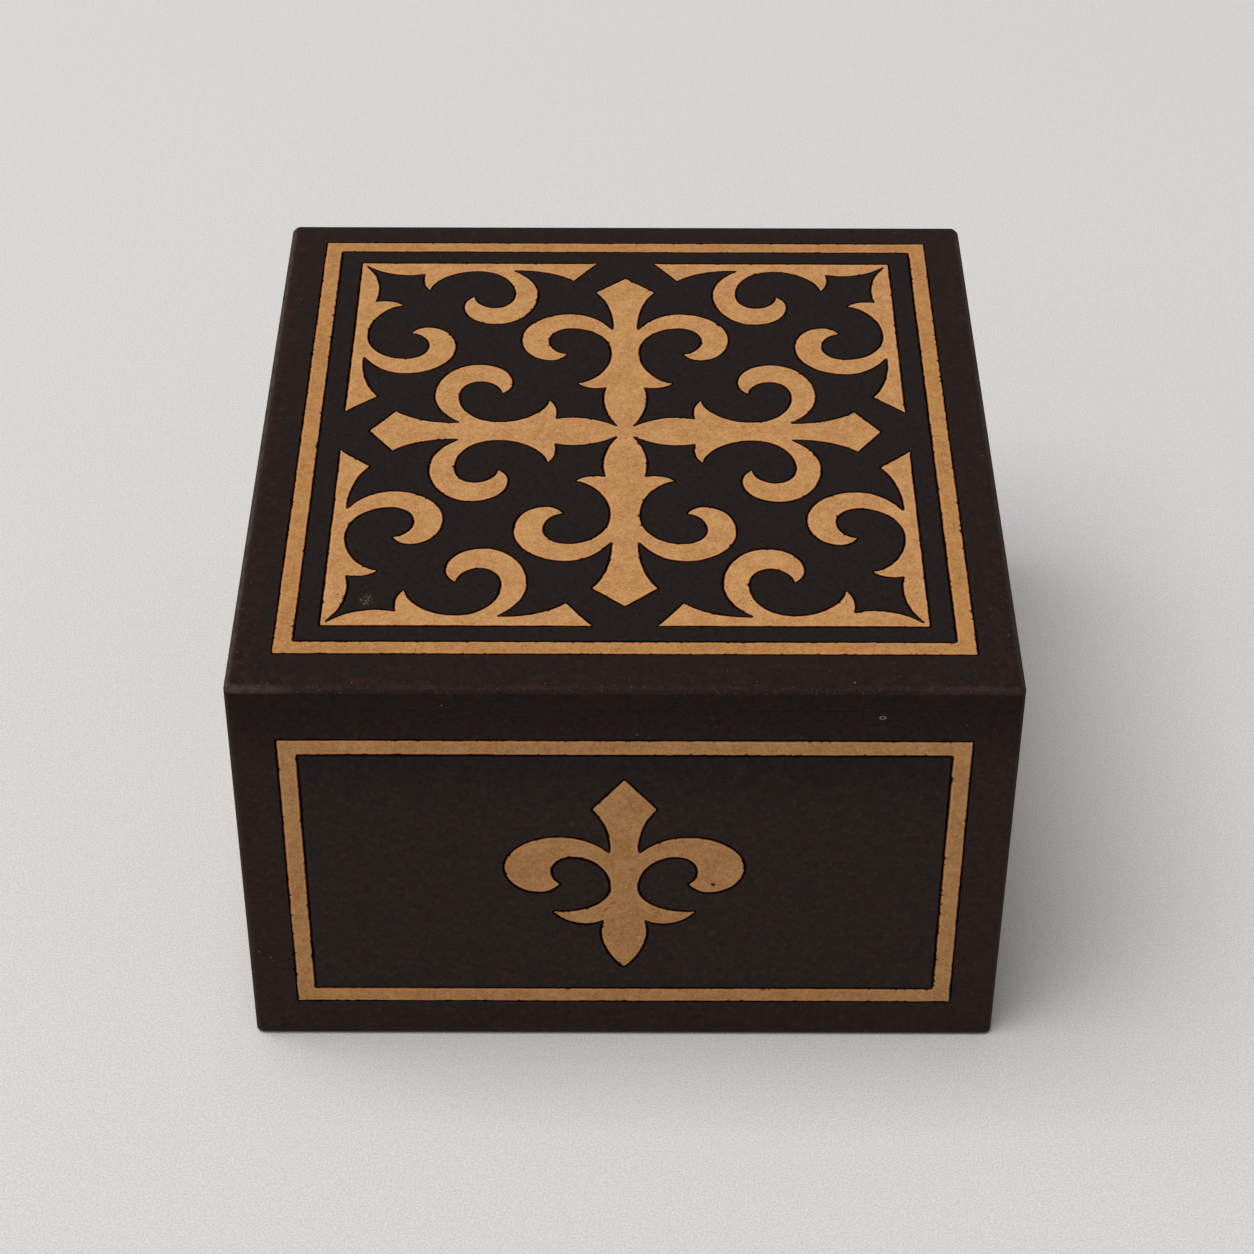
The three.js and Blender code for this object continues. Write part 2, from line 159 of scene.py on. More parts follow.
# Small marks, each with its place on the box and its half sizes.
CHIP_PLACE, CHIP_SIZE = (33.88 * MM, -57 * MM, 59.77 * MM), (0.55 * MM, 2 * MM, 0.34 * MM)
WORN_END_PLACE, WORN_END_SIZE = (-51.9 * MM, -56.6 * MM, 64.3 * MM), (1.6 * MM, 1.1 * MM, 0.8 * MM)
SCUFF_PLACE, SCUFF_SIZE = (-34.9 * MM, -38.6 * MM, 64.7 * MM), (1.0 * MM, 1.3 * MM, 2 * MM)
SCUFF_REACH = (3.2 * MM, 3 * MM, 2 * MM)
PIT_PLACE, PIT_SIZE = (12.17 * MM, -57 * MM, 29.61 * MM), (0.38 * MM, 2 * MM, 0.28 * MM)
PIT_TURN = (0, -0.6, 0)
BARE_STREAKS = (
    ((-1.55 * MM, -57 * MM, 26.05 * MM), (0.62 * MM, 2 * MM, 0.24 * MM), (0, 0.45, 0)),
    ((-2.5 * MM, -57 * MM, 24.85 * MM), (0.68 * MM, 2 * MM, 0.27 * MM), (0, 0.85, 0)),
)

WALLS = {"front": 0, "right": 1, "back": 2, "left": 3}
LID_CORNERS = {"front_left": (-1, -1), "front_right": (1, -1), "back_left": (-1, 1), "back_right": (1, 1)}
ROUGH_SIDES = {"lid": 1, "front": -1, "right": 1j, "back": 1, "left": -1j}  # where edges are chipped most
KEY_FROM, FILL_FROM = (-0.2432, -0.0885, 0.9659), (-0.539, -0.1962, 0.8192)  # directions of the softboxes
CAMERA_PLACE = (-0.0003534, -0.374828, 0.332158)
CAMERA_TURNS = ((-0.109, "Z"), (90 - 38.976, "X"), (0.208, "Z"))  # in degrees: pan, tilt and roll

BODIES = {node: body for body, nodes in frame["record"]["behaviour"]["bodies"].items() for node in nodes}
SLOTS = {row["node"]: row["material_slot"] for row in frame["record"]["subparts"]}


def tone(red, green, blue):
    """Scene-linear colour of a screen colour given in 0 to 255."""
    share = np.array([red, green, blue]) / 255
    return tuple(np.where(share <= 0.04045, share / 12.92, ((share + 0.055) / 1.055) ** 2.4).tolist())


# What a user may change


def length(name, description, default_mm, top_mm):
    """A length property in metres, from a size in millimetres."""
    return bpy.props.FloatProperty(
        name=name, description=description, default=default_mm * MM, min=0.0, max=top_mm * MM,
        unit="LENGTH", precision=5,
    )


def colour(name, description, default):
    """A colour property."""
    return bpy.props.FloatVectorProperty(
        name=name, description=description, default=default, min=0.0, max=1.0, size=3, subtype="COLOR",
    )


def share(name, description, default, top=1.0):
    """A plain share from 0 to top."""
    return bpy.props.FloatProperty(
        name=name, description=description, default=default, min=0.0, max=top, subtype="FACTOR",
    )


class DarkBoardSettings(bpy.types.PropertyGroup):
    """Outer boards of the box and the lid"""

    corner_round: length("Corner Round", "Radius of the box's upright corners", 1.2, 5)
    edge_round: length("Edge Round", "Drop of the lid's eased edges, and radius of the bottom edges", 1.05, 3)
    foot_round: length("Foot Round", "Radius of the lower corners of the front and back", 0.65, 3)
    seam: length("Seam", "Gap that shows between lid and box", 0.04, 0.25)
    lip_width: length("Lip Width", "Width of the lid's lip that lies over the walls", 4.2, 6)
    seam_round: length("Seam Round", "Radius of the edges along the seam", 0.025, 0.5)
    colour: colour("Stain", "Colour of the dark stained board", tone(47.2, 37.6, 34.8))
    warm_colour: colour("Warm Stain", "Colour of the reddish patches of the stain", tone(78, 48, 40))
    # painted shade: the lid's face is darkened to this share of the walls' stain
    lid_painted_shade: share("Lid Share", "Stain's level on the lid, against that of the walls", 0.515)
    worn_colour: colour("Worn Stain", "Colour where the stain is rubbed through", tone(98, 62, 50))
    # painted highlight: a paler grey laid on the lid's eased edge as its sheen
    sheen_colour: colour("Polish", "Colour of the lid's rubbed, polished edge", tone(72, 63, 62))
    fleck_colour: colour("Red Flecks", "Colour of the fibres that show through the stain", tone(142, 84, 56))
    chip_colour: colour("Chips", "Colour of the small pale chips", tone(140, 128, 116))
    wear: share("Wear", "How much of the edges is rubbed", 0.5)


class InlaySettings(bpy.types.PropertyGroup):
    """Tan ornament and dark field, cut by laser and laid in flush"""

    kerf: length("Kerf", "Width of the cut that shows round each piece", 0.21, 0.6)
    arris: length("Arris", "Radius of the pieces' top edges", 0.07, 0.3)
    tip_softness: length("Tip Softness", "How far sharp tips are burnt back", 0.26, 1)
    notch_softness: length("Notch Softness", "How far inner corners are rounded", 0.1, 1)
    scorch_reach: length("Scorch Reach", "Width of the scorched band beside a cut", 0.32, 1)
    soot_reach: length("Soot Reach", "Width of the sooty band of a dark field beside a cut", 0.14, 1)
    raggedness: length("Raggedness", "Unevenness of the cut edges", 0.026, 0.1)
    nick_depth: length("Chip Depth", "Depth of the chips along the frames' edges", 0.19, 0.6)
    nick_spacing: length("Chip Spacing", "Mean distance between chips along a frame", 1.6, 50)
    tan: colour("Tan", "Colour of the tan board", tone(194, 145, 91))
    tan_dark: colour("Tan Shade", "Colour of its darker clumps", tone(173, 122, 74))
    fibre: colour("Fibre", "Colour of brown fibres in the tan board", tone(122, 72, 36))
    pale_fibre_and_highlight: colour("Pale Fibre", "Colour of the pale fibres in the tan board", tone(218, 175, 124))
    scorch: colour("Scorch", "Colour of scorched chips and specks", tone(86, 42, 18))
    warm_scorch: colour("Warm Scorch", "Colour of the tan board's edge, next to the char", tone(176, 104, 48))
    lid_frame_tint: colour("Lid Frame Tint", "Share of the tan on the lid's frame, cut from a darker sheet",
                           (0.86, 0.82, 0.71))
    char: colour("Char", "Colour of the burnt walls of a cut", tone(12, 6, 4))
    field: colour("Field", "Colour of the dark field", tone(47.8, 39.2, 36.6))
    # painted shade: the lid's field is darkened to this share of the sides' fields
    field_lid_painted_shade: share("Lid Share", "Field's level on the lid, against that of the walls", 0.47)
    field_fleck: colour("Field Fleck", "Colour of the field's pale flecks", tone(96, 86, 80))
    scuff: colour("Scuff", "Colour of the small scuff in a corner of the lid's field", tone(146, 135, 112))


class InteriorSettings(bpy.types.PropertyGroup):
    """Plain boards inside, left natural"""

    edge_round: length("Edge Round", "Radius of the edges of inner boards", 0.12, 1)
    colour: colour("Natural Board", "Colour of the plain board", tone(164, 124, 84))
    shade: colour("Board Shade", "Colour of its darker clumps", tone(148, 108, 71))
    cut: colour("Cut Edge", "Colour of laser-cut edges", tone(58, 33, 20))


class PinSettings(bpy.types.PropertyGroup):
    """Steel lock pins"""

    nose: length("Nose", "Length of the rounded nose", 1.0, 4)
    groove: length("Groove", "Depth of the turned groove", 0.25, 1)
    steel: colour("Steel", "Colour of the turned steel", tone(196, 198, 200))


class StageSettings(bpy.types.PropertyGroup):
    """Floor, light and camera"""

    floor_colour: colour("Floor", "Colour of the pale floor", tone(217, 215, 213))
    floor_size: length("Floor Size", "Half width of the floor", 4000, 20000)
    sky: share("Sky Level", "Level of the light from all round", 0.18, 2.0)
    key: share("Key Level", "Level of the high softbox on a level surface", 0.745, 2.0)
    key_size: length("Key Size", "Side of the high softbox", 3000, 8000)
    fill: share("Fill Level", "Level of the broad softbox at the left on a level surface", 0.308, 2.0)
    fill_size: length("Fill Size", "Side of the broad softbox", 5000, 8000)
    distance: length("Light Distance", "Distance of both softboxes", 4000, 8000)
    lens: bpy.props.FloatProperty(
        name="Lens", description="Focal length on a 36 mm wide sensor", default=91.54, unit="CAMERA",
    )


# Outlines, as closed rows of x + iy


def curve_chain(start, curves, tip):
    """Points along a chain of cubic curves and on to a tip: at share t of a curve its point is
    (1-t)^3 P0 + 3 (1-t)^2 t P1 + 3 (1-t) t^2 P2 + t^3 P3."""
    handles = np.array(curves) @ np.array([1, 1j])
    starts = np.concatenate([[start], handles[:-1, 2]])
    controls = np.column_stack([starts, handles])
    t = np.arange(CURVE_STEPS) / CURVE_STEPS
    weights = np.stack([(1 - t) ** 3, 3 * (1 - t) ** 2 * t, 3 * (1 - t) * t**2, t**3])
    return np.concatenate([(controls @ weights).ravel(), [handles[-1, 2], tip]])


def stretched(line, across, along):
    """A line with its two coordinates scaled apart."""
    return line.real * across + 1j * line.imag * along


def mirrored_on(side):
    """A side that runs up the right, followed by its mirror image down the left, without the shared ends."""
    return np.concatenate([side, -side[1:-1][::-1].conj()])


def cross_line(half_width, half_height):
    """Four arms, each a quarter turn of the first, stretched to the room there is."""
    arm = mirrored_on(curve_chain(CROSS_START, CROSS_CURVES, CROSS_TIP))
    whole = np.concatenate([arm * 1j**turn for turn in range(4)]) * CROSS_SHARE
    return stretched(whole, half_width, half_height)


def corner_line(half_width, half_height, side_x, side_y):
    """Half an arm along each edge from a corner: one is the other with its two coordinates exchanged."""
    side = curve_chain(CROSS_START, CROSS_CURVES, CROSS_TIP)[CORNER_SKIP:]
    along = stretched(side, CORNER_ACROSS, CORNER_ALONG)
    whole = np.concatenate([[0], (1j * along.conj())[::-1], [CORNER_START], along])
    line = stretched(1 + 1j - whole, side_x * half_width, side_y * half_height)
    return line if side_x == side_y else line[::-1]


def fleur_line(half_height):
    """One side of a fleur and its mirror image, scaled by half the fleur's height."""
    return mirrored_on(curve_chain(FLEUR_START, FLEUR_CURVES, FLEUR_TIP)) * half_height


def rectangle_line(half_width, half_height):
    """The four corners of a rectangle about the origin."""
    return stretched(np.array([-1 - 1j, 1 - 1j, 1 + 1j, -1 + 1j]), half_width, half_height)


def even_steps(line):
    """The same closed line with points at even steps along its length."""
    closed = np.append(line, line[0])
    run = np.concatenate([[0], np.cumsum(np.abs(np.diff(closed)))])
    count = int(round(run[-1] / POINT_STEP))
    at = np.arange(count) * run[-1] / count
    return np.interp(at, run, closed.real) + 1j * np.interp(at, run, closed.imag)


def softened(row, reach):
    """A closed row of evenly spaced values blurred along itself by a bell curve: each frequency w of the row
    is scaled by exp(-(reach w)^2 / 2)."""
    waves = 2 * np.pi * np.fft.fftfreq(len(row)) / POINT_STEP
    blurred = np.fft.ifft(np.fft.fft(row) * np.exp(-0.5 * (reach * waves) ** 2))
    return blurred if np.iscomplexobj(row) else blurred.real


def outward(line):
    """Unit normals of a line that runs counter-clockwise: its direction turned a quarter to the right."""
    run = np.roll(line, -1) - np.roll(line, 1)
    return -1j * run / np.maximum(np.abs(run), 1e-12)


def local_room(line, into):
    """Radius of the largest circle that touches the line at each point on the side of `into` and holds no
    other point q of it: the least |q-p|^2 / (2 (q-p).into), and a metre where nothing lies ahead."""
    count = len(line)
    room = np.full(count, 1.0)
    far = range(NEAR_POINTS, count - NEAR_POINTS, FAR_STRIDE)
    for shift in (*range(1, NEAR_POINTS), *far, *range(count - NEAR_POINTS, count)):
        gap = np.roll(line, shift) - line
        ahead = (gap * into.conj()).real
        room = np.minimum(room, np.where(ahead > 1e-9, np.abs(gap) ** 2 / (2 * np.maximum(ahead, 1e-9)), 1.0))
    return np.minimum(room, np.minimum(np.roll(room, 1), np.roll(room, -1)))


def wander(count, reach, random):
    """Seeded noise of about one unit along a closed row, smooth over the given reach."""
    row = softened(random.standard_normal(count), reach)
    return row / row.std()


def chip_row(count, spacing, random):
    """Chips along a closed row: half ellipses at random places, each with its own length and depth."""
    total = count * POINT_STEP
    amount = max(1, int(total / spacing))
    places = random.uniform(0, total, amount)[:, None]
    halves = random.uniform(*CHIP_HALVES, amount)[:, None] * MM
    depths = random.uniform(*CHIP_ROOTS, amount)[:, None] ** 2
    gap = np.abs(np.arange(count) * POINT_STEP - places)
    gap = np.minimum(gap, total - gap)
    return (depths * np.sqrt(np.maximum(0, 1 - (gap / halves) ** 2))).max(axis=0)


def cut_rings(line, side, insets, chip_shares, chips, rough, random, settings):
    """One side of a cut along a drawn line, as rings at several insets into the board, with its row of chips.
    Side is -1 where the board is inside the line and 1 where it is outside. The board's own tips are burnt
    back further than its notches, and its edges that look towards the rough side are chipped the most. An
    inset d becomes d r / sqrt(d^2 + r^2), with r two thirds of the local room, so that rings never cross."""
    line = even_steps(line)
    base = softened(line, settings.notch_softness)
    into = side * outward(base)
    pull = ((softened(line, settings.tip_softness) - base) * into.conj()).real
    base = softened(base + into * np.maximum(0, pull), POINT_STEP)
    into = side * outward(base)
    room = ROOM_SHARE * local_room(base, into)
    uneven = sum(part * wander(len(base), reach, random) for part, reach in WAVES)
    chip = chip_row(len(base), settings.nick_spacing / chips, random)
    chip = chip * (CHIPPED + CHIPPED_MORE * np.maximum(0, -(into * np.conj(rough)).real))
    depth = np.array(insets)[:, None] + settings.kerf / 2 + settings.raggedness * np.clip(uneven, -2.5, 2.5)
    depth = np.maximum(depth, LEAST_CUT) + settings.nick_depth * np.array(chip_shares)[:, None] * chip
    rings = base + into * depth * room / np.sqrt(depth**2 + room**2)
    return (rings[:, ::-1], chip[::-1]) if side > 0 else (rings, chip)


def round_rectangle(low, high, radii):
    """A rectangle with its own radius at each corner, counter-clockwise from the lower right one: a quarter
    circle at each corner."""
    radii = np.maximum(np.array(radii, float), 1e-6)
    corners = np.array([high[0], high[0], low[0], low[0]]) + 1j * np.array([low[1], high[1], high[1], low[1]])
    centres = corners + radii * np.array([-1 + 1j, -1 - 1j, 1 - 1j, 1 + 1j])
    turn = np.exp(0.5j * np.pi * (np.linspace(0, 1, ROUND_STEPS + 1) - 1))
    return (centres[:, None] + radii[:, None] * 1j ** np.arange(4)[:, None] * turn).ravel()


# Solids from rings and caps


class Plane:
    """Where a flat piece lies: unit vectors along its face and out of it, the middle of its outer face, and
    half its size along each of them."""

    def __init__(self, node, across, up):
        self.axes = np.array([across, up, np.cross(across, up)], float)
        low, high = (np.array(corner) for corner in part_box(node))
        self.half = np.abs(self.axes @ (high - low)) / 2
        self.origin = (low + high) / 2 + self.axes[2] * self.half[2]

    def extent(self, node):
        """Lowest and highest corner of a node in this plane's own coordinates."""
        corners = np.array([self.axes @ (np.array(corner) - self.origin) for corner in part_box(node)])
        return corners.min(axis=0), corners.max(axis=0)


def face_plane(face):
    """The plane of the lid's top, or of one side of the box, some quarter turns round from the front."""
    node = f"{face}_frame_inlay"
    if face == "lid":
        return Plane(node, (1, 0, 0), (0, 1, 0))
    turn = 1j ** WALLS[face]
    return Plane(node, (round(turn.real), round(turn.imag), 0), (0, 0, 1))


class Shell:
    """A closed solid: rings joined by quads, and flat caps over their ends."""

    def __init__(self):
        self.points, self.quads, self.triangles, self.char, self.rub_sheen_chips = [], [], [], [], []
        self.count = 0

    def loft(self, rings, levels, char=0.0, rub_sheen_chips=0.0):
        """Adds rings, each at its own level. A quad joins two neighbours of one ring with those of the next,
        and faces outwards where a ring runs counter-clockwise and the next is higher."""
        index = self.count + np.arange(rings.size).reshape(rings.shape)
        beside = np.roll(index, -1, axis=1)
        level = np.broadcast_to(np.asarray(levels, float)[:, None], rings.shape)
        self.points.append(np.stack([rings.real, rings.imag, level], axis=-1).reshape(-1, 3))
        self.quads.append(np.stack([index[:-1], beside[:-1], beside[1:], index[1:]], axis=-1).reshape(-1, 4))
        self.char.append(np.broadcast_to(np.reshape(char, (-1, 1)), rings.shape).ravel())
        self.rub_sheen_chips.append(np.broadcast_to(rub_sheen_chips, rings.shape).ravel())
        self.count += rings.size
        return index

    def cap(self, loops, up):
        """Fills the flat area between the first loop of points and the others inside it with triangles that
        keep the loops' edges, all facing up, or all down. A loop runs counter-clockwise where the sum of its
        x dy - y dx is positive, and is turned round for the filling where it doesn't. Triangles that lie in
        an inner loop as well are left out."""
        outline = np.concatenate(loops)
        flat = np.concatenate(self.points)[outline, :2] / MM
        rows = np.split(np.arange(len(flat)), np.cumsum([len(loop) for loop in loops])[:-1])
        areas = [np.cross(flat[row], np.roll(flat[row], -1, axis=0)).sum() for row in rows]
        faces = [(row if area > 0 else row[::-1]).tolist() for row, area in zip(rows, areas)]
        points = [Vector(point) for point in flat.tolist()]
        made, _, found, _, _, within = delaunay_2d_cdt(points, [], faces, FILL_INSIDE, 1e-9)
        if len(made) != len(flat):
            raise RuntimeError(f"the rings of a cap cross: {len(flat)} points became {len(made)}")
        kept = outline[np.array([triangle for triangle, inside in zip(found, within) if len(inside) == 1])]
        self.triangles.append(kept if up else kept[:, ::-1])

    def mesh(self, name, plane):
        """The mesh, with each local point p at origin + p.u U + p.v V + p.w N."""
        points = plane.origin + np.concatenate(self.points) @ plane.axes
        quads, triangles = np.concatenate(self.quads), np.concatenate(self.triangles)
        loops = np.concatenate([quads.ravel(), triangles.ravel()])
        mesh = bpy.data.meshes.new(name)
        mesh.vertices.add(len(points))
        mesh.vertices.foreach_set("co", points.astype(np.float32).ravel())
        mesh.loops.add(len(loops))
        mesh.loops.foreach_set("vertex_index", loops.astype(np.int32))
        mesh.polygons.add(len(quads) + len(triangles))
        starts = np.concatenate([np.arange(len(quads)) * 4, quads.size + np.arange(len(triangles)) * 3])
        mesh.polygons.foreach_set("loop_start", starts.astype(np.int32))
        mesh.polygons.foreach_set("use_smooth", np.repeat([True, False], [len(quads), len(triangles)]))
        mesh.update(calc_edges=True)
        for label, rows in (("char", self.char), ("rub_sheen_chips", self.rub_sheen_chips)):
            data = mesh.attributes.new(label, "FLOAT", "POINT").data
            data.foreach_set("value", np.concatenate(rows).astype(np.float32))
        return mesh


def place(shell, node, plane, finish=None):
    """Makes the finished piece that stands for a node, on the node's body and in its slot, with the slot's
    own material unless another is given."""
    if shell.count == 0:
        raise RuntimeError(f"{node} has no shape")
    name, body, slot = node + "_finished", BODIES[node], SLOTS[node]
    piece = bpy.data.objects.new(name, shell.mesh(name, plane))
    piece.data.materials.append(finish or material_named(*FINISHES[slot]))
    bpy.context.scene.collection.objects.link(piece)
    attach(piece, body)
    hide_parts(node)


def round_over(radius, steps=3):
    """Insets and levels of a quarter round at the top of a wall, from the wall to the flat."""
    angle = np.linspace(0, np.pi / 2, steps)
    return radius * (1 - np.cos(angle)), -radius * (1 - np.sin(angle))


def inlay_shell(lines, thickness, chips, rough, arris_char, reach, random, settings):
    """A flat piece with cut walls. Lines are (drawn line, side) pairs. From below, each wall rises plumb to
    the chips' foot, widens into the chips, and turns over a small arris, and its last ring lies on top, where
    the char has faded to nothing."""
    inset, level = round_over(settings.arris, len(arris_char))
    insets = [UNDERSIDE_ROUND, 0, 0, *inset, settings.arris + reach]
    foot = min(CHIP_FOOT, thickness / 3)
    levels = [-thickness, UNDERSIDE_ROUND - thickness, -foot, *(level - BURNT_DOWN), 0]
    shares = [0, 0, 0, *np.ones(len(inset))]
    shell, lower, upper = Shell(), [], []
    for line, side in lines:
        rings, chip = cut_rings(line, side, insets, [*shares, TOP_CHIPPED], chips, rough, random, settings)
        index = shell.loft(rings, levels, [1, 1, 1, *arris_char, 0], np.array([*shares, 0])[:, None] * chip)
        lower.append(index[0])
        upper.append(index[-1])
    shell.cap(lower, up=False)
    shell.cap(upper, up=True)
    return shell


def add_pocket(shell, plane, node, rim, random, settings):
    """Cuts the pocket for a frame into a board: from its floor the wall rises plumb and turns over a small
    arris on to the board's face, which runs out to the given rim."""
    inset, level = round_over(settings.arris)
    depth = plane.half[2] * 2 + CAD_CUT
    line = rectangle_line(*drawn_half(plane, node))
    shares = [0, 0, 0, *np.ones(len(inset))]
    rings, _ = cut_rings(line, 1, [0, 0, 0, *inset], shares, POCKET_CHIPS, 1, random, settings)
    index = shell.loft(rings, [-depth, -depth / 2, -CHIP_FOOT, *level], [1, 1, 1, *POCKET_CHAR])
    shell.cap([index[0]], up=True)
    shell.cap([rim, index[-1]], up=True)


def eased_edge(drop):
    """Insets and levels of an edge that leaves the side crisply, runs down at half a right angle and eases
    slowly into the top: equal steps, each in its own direction, summed and scaled to the given drop."""
    angle = np.radians(EASED_ANGLES)
    inset = np.concatenate([[0], np.cumsum(np.cos(angle))])
    rise = np.concatenate([[0], np.cumsum(np.sin(angle))])
    return inset * drop / rise[-1], (rise / rise[-1] - 1) * drop


def rounded_inset(radius, depth):
    """How far a rounded edge lies in at a depth h below the face: r - sqrt(r^2 - (r-h)^2) while h < r."""
    rest = np.maximum(radius - depth, 0)
    return radius - np.sqrt(np.maximum(radius**2 - rest**2, 0))


def board_shell(low, high, rounds, corners, chamfer):
    """A board as rings from its inner face to its outer one. Each side's inset follows its own round at the
    outer face and a small chamfer at the inner one. Rounds are left, right, lower and upper."""
    thickness = high[2] - low[2]
    fine = max(rounds) * (1 - np.sin(np.linspace(0, np.pi / 2, ROUND_STEPS + 1)))
    under = thickness - np.array([0, 0.3, 1, 2.5]) * chamfer
    depths = np.unique(np.concatenate([under, fine, np.array([0.3, 1, 2]) * chamfer]))[::-1]
    inner = rounded_inset(chamfer, thickness - depths)
    left, right, lower, upper = (rounded_inset(radius, depths) + inner for radius in rounds)
    rings = np.array([
        round_rectangle(
            (low[0] + left[k], low[1] + lower[k]), (high[0] - right[k], high[1] - upper[k]),
            np.maximum(np.array(corners) - min(left[k], lower[k], right[k], upper[k]), 0.01 * MM),
        )
        for k in range(len(depths))
    ])
    shell = Shell()
    index = shell.loft(rings, high[2] - depths)
    shell.cap([index[0]], up=False)
    return shell, index[-1]


# Shader nodes


def scaled(colour, share):
    """A colour times a share, or each part of it times its own."""
    return tuple((np.array(colour) * share).tolist())


class Wires:
    """Short calls that add nodes to one tree."""

    def __init__(self, tree):
        self.tree = tree

    def feed(self, made, inputs):
        """Sets a node's inputs, given by name or number, each to a value or by a link to a socket."""
        for key, value in inputs.items():
            socket = made.inputs[key]
            if isinstance(value, bpy.types.NodeSocket):
                self.tree.links.new(value, socket)
            else:
                socket.default_value = (*value, 1.0) if socket.type == "RGBA" else value

    def node(self, kind, inputs=None, **settings):
        """Adds a node with its settings and inputs."""
        made = self.tree.nodes.new(kind)
        for key, value in settings.items():
            setattr(made, key, value)
        self.feed(made, inputs or {})
        return made

    def math(self, operation, a, b=0.0, clamp=False):
        """One sum of two numbers."""
        return self.node("ShaderNodeMath", {0: a, 1: b}, operation=operation, use_clamp=clamp).outputs[0]

    def times(self, first, *others):
        """The product of several numbers."""
        for other in others:
            first = self.math("MULTIPLY", first, other)
        return first

    def vector(self, operation, a, b):
        """One sum of two vectors."""
        return self.node("ShaderNodeVectorMath", {0: a, 1: b}, operation=operation).outputs[0]

    def mix(self, factor, a, b, blend="MIX"):
        """A colour between a and b."""
        inputs = {0: factor, 6: a, 7: b}
        return self.node("ShaderNodeMix", inputs, data_type="RGBA", blend_type=blend).outputs[2]

    def layers(self, base, *rows):
        """Colours laid over a base one after the other, each by the product of the masks in its row."""
        for colour, *masks in rows:
            base = self.mix(self.times(*masks), base, colour)
        return base

    def ramp(self, value, low, high, to_low=0.0, to_high=1.0, soft=True):
        """A value carried from one range to another, and held at the ends."""
        return self.node(
            "ShaderNodeMapRange", {0: value, 1: low, 2: high, 3: to_low, 4: to_high},
            interpolation_type="SMOOTHSTEP" if soft else "LINEAR",
        ).outputs[0]

    def noise(self, vector, size, detail=2.0, rough=0.5):
        """Noise with clumps of about the given size in metres, or of the size that a socket gives."""
        scale = self.math("DIVIDE", 1.0, size) if isinstance(size, bpy.types.NodeSocket) else 1 / size
        return self.node(
            "ShaderNodeTexNoise", {"Vector": vector, "Scale": scale, "Detail": detail, "Roughness": rough}
        ).outputs[0]

    def moved(self, vector, turn, scale):
        """Coordinates scaled and then turned by a Mapping node."""
        return self.node("ShaderNodeMapping", {"Vector": vector, "Rotation": turn, "Scale": scale}).outputs[0]

    def parts(self, vector):
        """The three parts of a vector."""
        return self.node("ShaderNodeSeparateXYZ", {0: vector}).outputs

    def attribute(self, name):
        """A number that each point of the mesh carries."""
        return self.node("ShaderNodeAttribute", attribute_name=name).outputs["Fac"]

    def bump(self, height, strength, depth):
        """The surface's normal, tilted by a height."""
        inputs = {"Height": height, "Strength": strength, "Distance": depth}
        return self.node("ShaderNodeBump", inputs).outputs[0]

    def use(self, name, vector, **inputs):
        """Places a node group, and gives its outputs."""
        made = self.node("ShaderNodeGroup", node_tree=group_named(name))
        self.feed(made, {"Vector": vector, **{key.replace("_", " ").title(): inputs[key] for key in inputs}})
        return made.outputs


def group_mottle(wires, given):
    """Soft clumps of fibre and the fine grain between them, both about 0.5 in the mean."""
    return {
        "Clumps": wires.noise(given["Vector"], given["Clump Size"], 3.0, 0.55),
        "Grain": wires.noise(given["Vector"], given["Grain Size"], 2.0, 0.6),
    }


def group_flecks(wires, given):
    """Scattered flecks: cells of the given size, of which a share holds a fleck that fills part of the cell.
    A fleck's tone is its own random number."""
    scale = wires.math("DIVIDE", 1.0, given["Cell Size"])
    inputs = {"Vector": given["Vector"], "Scale": scale, "Randomness": 1.0}
    cells = wires.node("ShaderNodeTexVoronoi", inputs).outputs
    own = wires.node("ShaderNodeSeparateColor", {0: cells["Color"]}).outputs
    chosen = wires.math("LESS_THAN", own[0], given["Share Of Cells"])
    size = wires.times(given["Fill"], wires.ramp(own[1], 0, 1, 0.35, 1, soft=False))
    near = wires.ramp(wires.math("DIVIDE", cells["Distance"], size), 0.6, 1.0, 1.0, 0.0)
    return {"Mask": wires.times(chosen, near), "Tone": own[2]}


def group_hairs(wires, given):
    """Thin curled hairs: the lines where a noise passes its middle value, kept only in the scattered patches
    of another noise. Thinness is how far from the middle value a line fades."""
    vector = wires.vector("ADD", given["Vector"], given["Shift"])
    level = wires.math("SUBTRACT", wires.noise(vector, given["Curl Size"], 1.0), 0.5)
    line = wires.ramp(wires.math("ABSOLUTE", level), 0.0, given["Thinness"], 1.0, 0.0)
    patches = wires.noise(vector, wires.times(given["Curl Size"], 0.7), 1.0)
    return {"Mask": wires.times(line, wires.ramp(patches, 0.52, 0.62))}


def group_wear(wires, given):
    """Rubbed edges of the block: the second smallest distance to its faces is the distance to its nearest
    edge; the mask fades over the reach and is broken up by noise."""
    part = wires.parts(given["Vector"])
    wide = wires.math("SUBTRACT", given["Half Width"], wires.math("ABSOLUTE", part[0]))
    deep = wires.math("SUBTRACT", given["Half Depth"], wires.math("ABSOLUTE", part[1]))
    tall = wires.math("MINIMUM", part[2], wires.math("SUBTRACT", given["Height"], part[2]))
    less, more = wires.math("MINIMUM", wide, deep), wires.math("MAXIMUM", wide, deep)
    edge = wires.math("MAXIMUM", less, wires.math("MINIMUM", more, tall))
    nearness = wires.ramp(wires.math("DIVIDE", edge, given["Reach"]), 0.0, 1.0, 1.0, 0.0)
    patches = wires.noise(given["Vector"], given["Patch Size"], 4.0, 0.65)
    broken = wires.ramp(wires.math("ADD", patches, wires.times(nearness, given["Amount"])), 0.62, 0.95)
    return {"Mask": wires.times(broken, nearness), "Nearness": nearness}


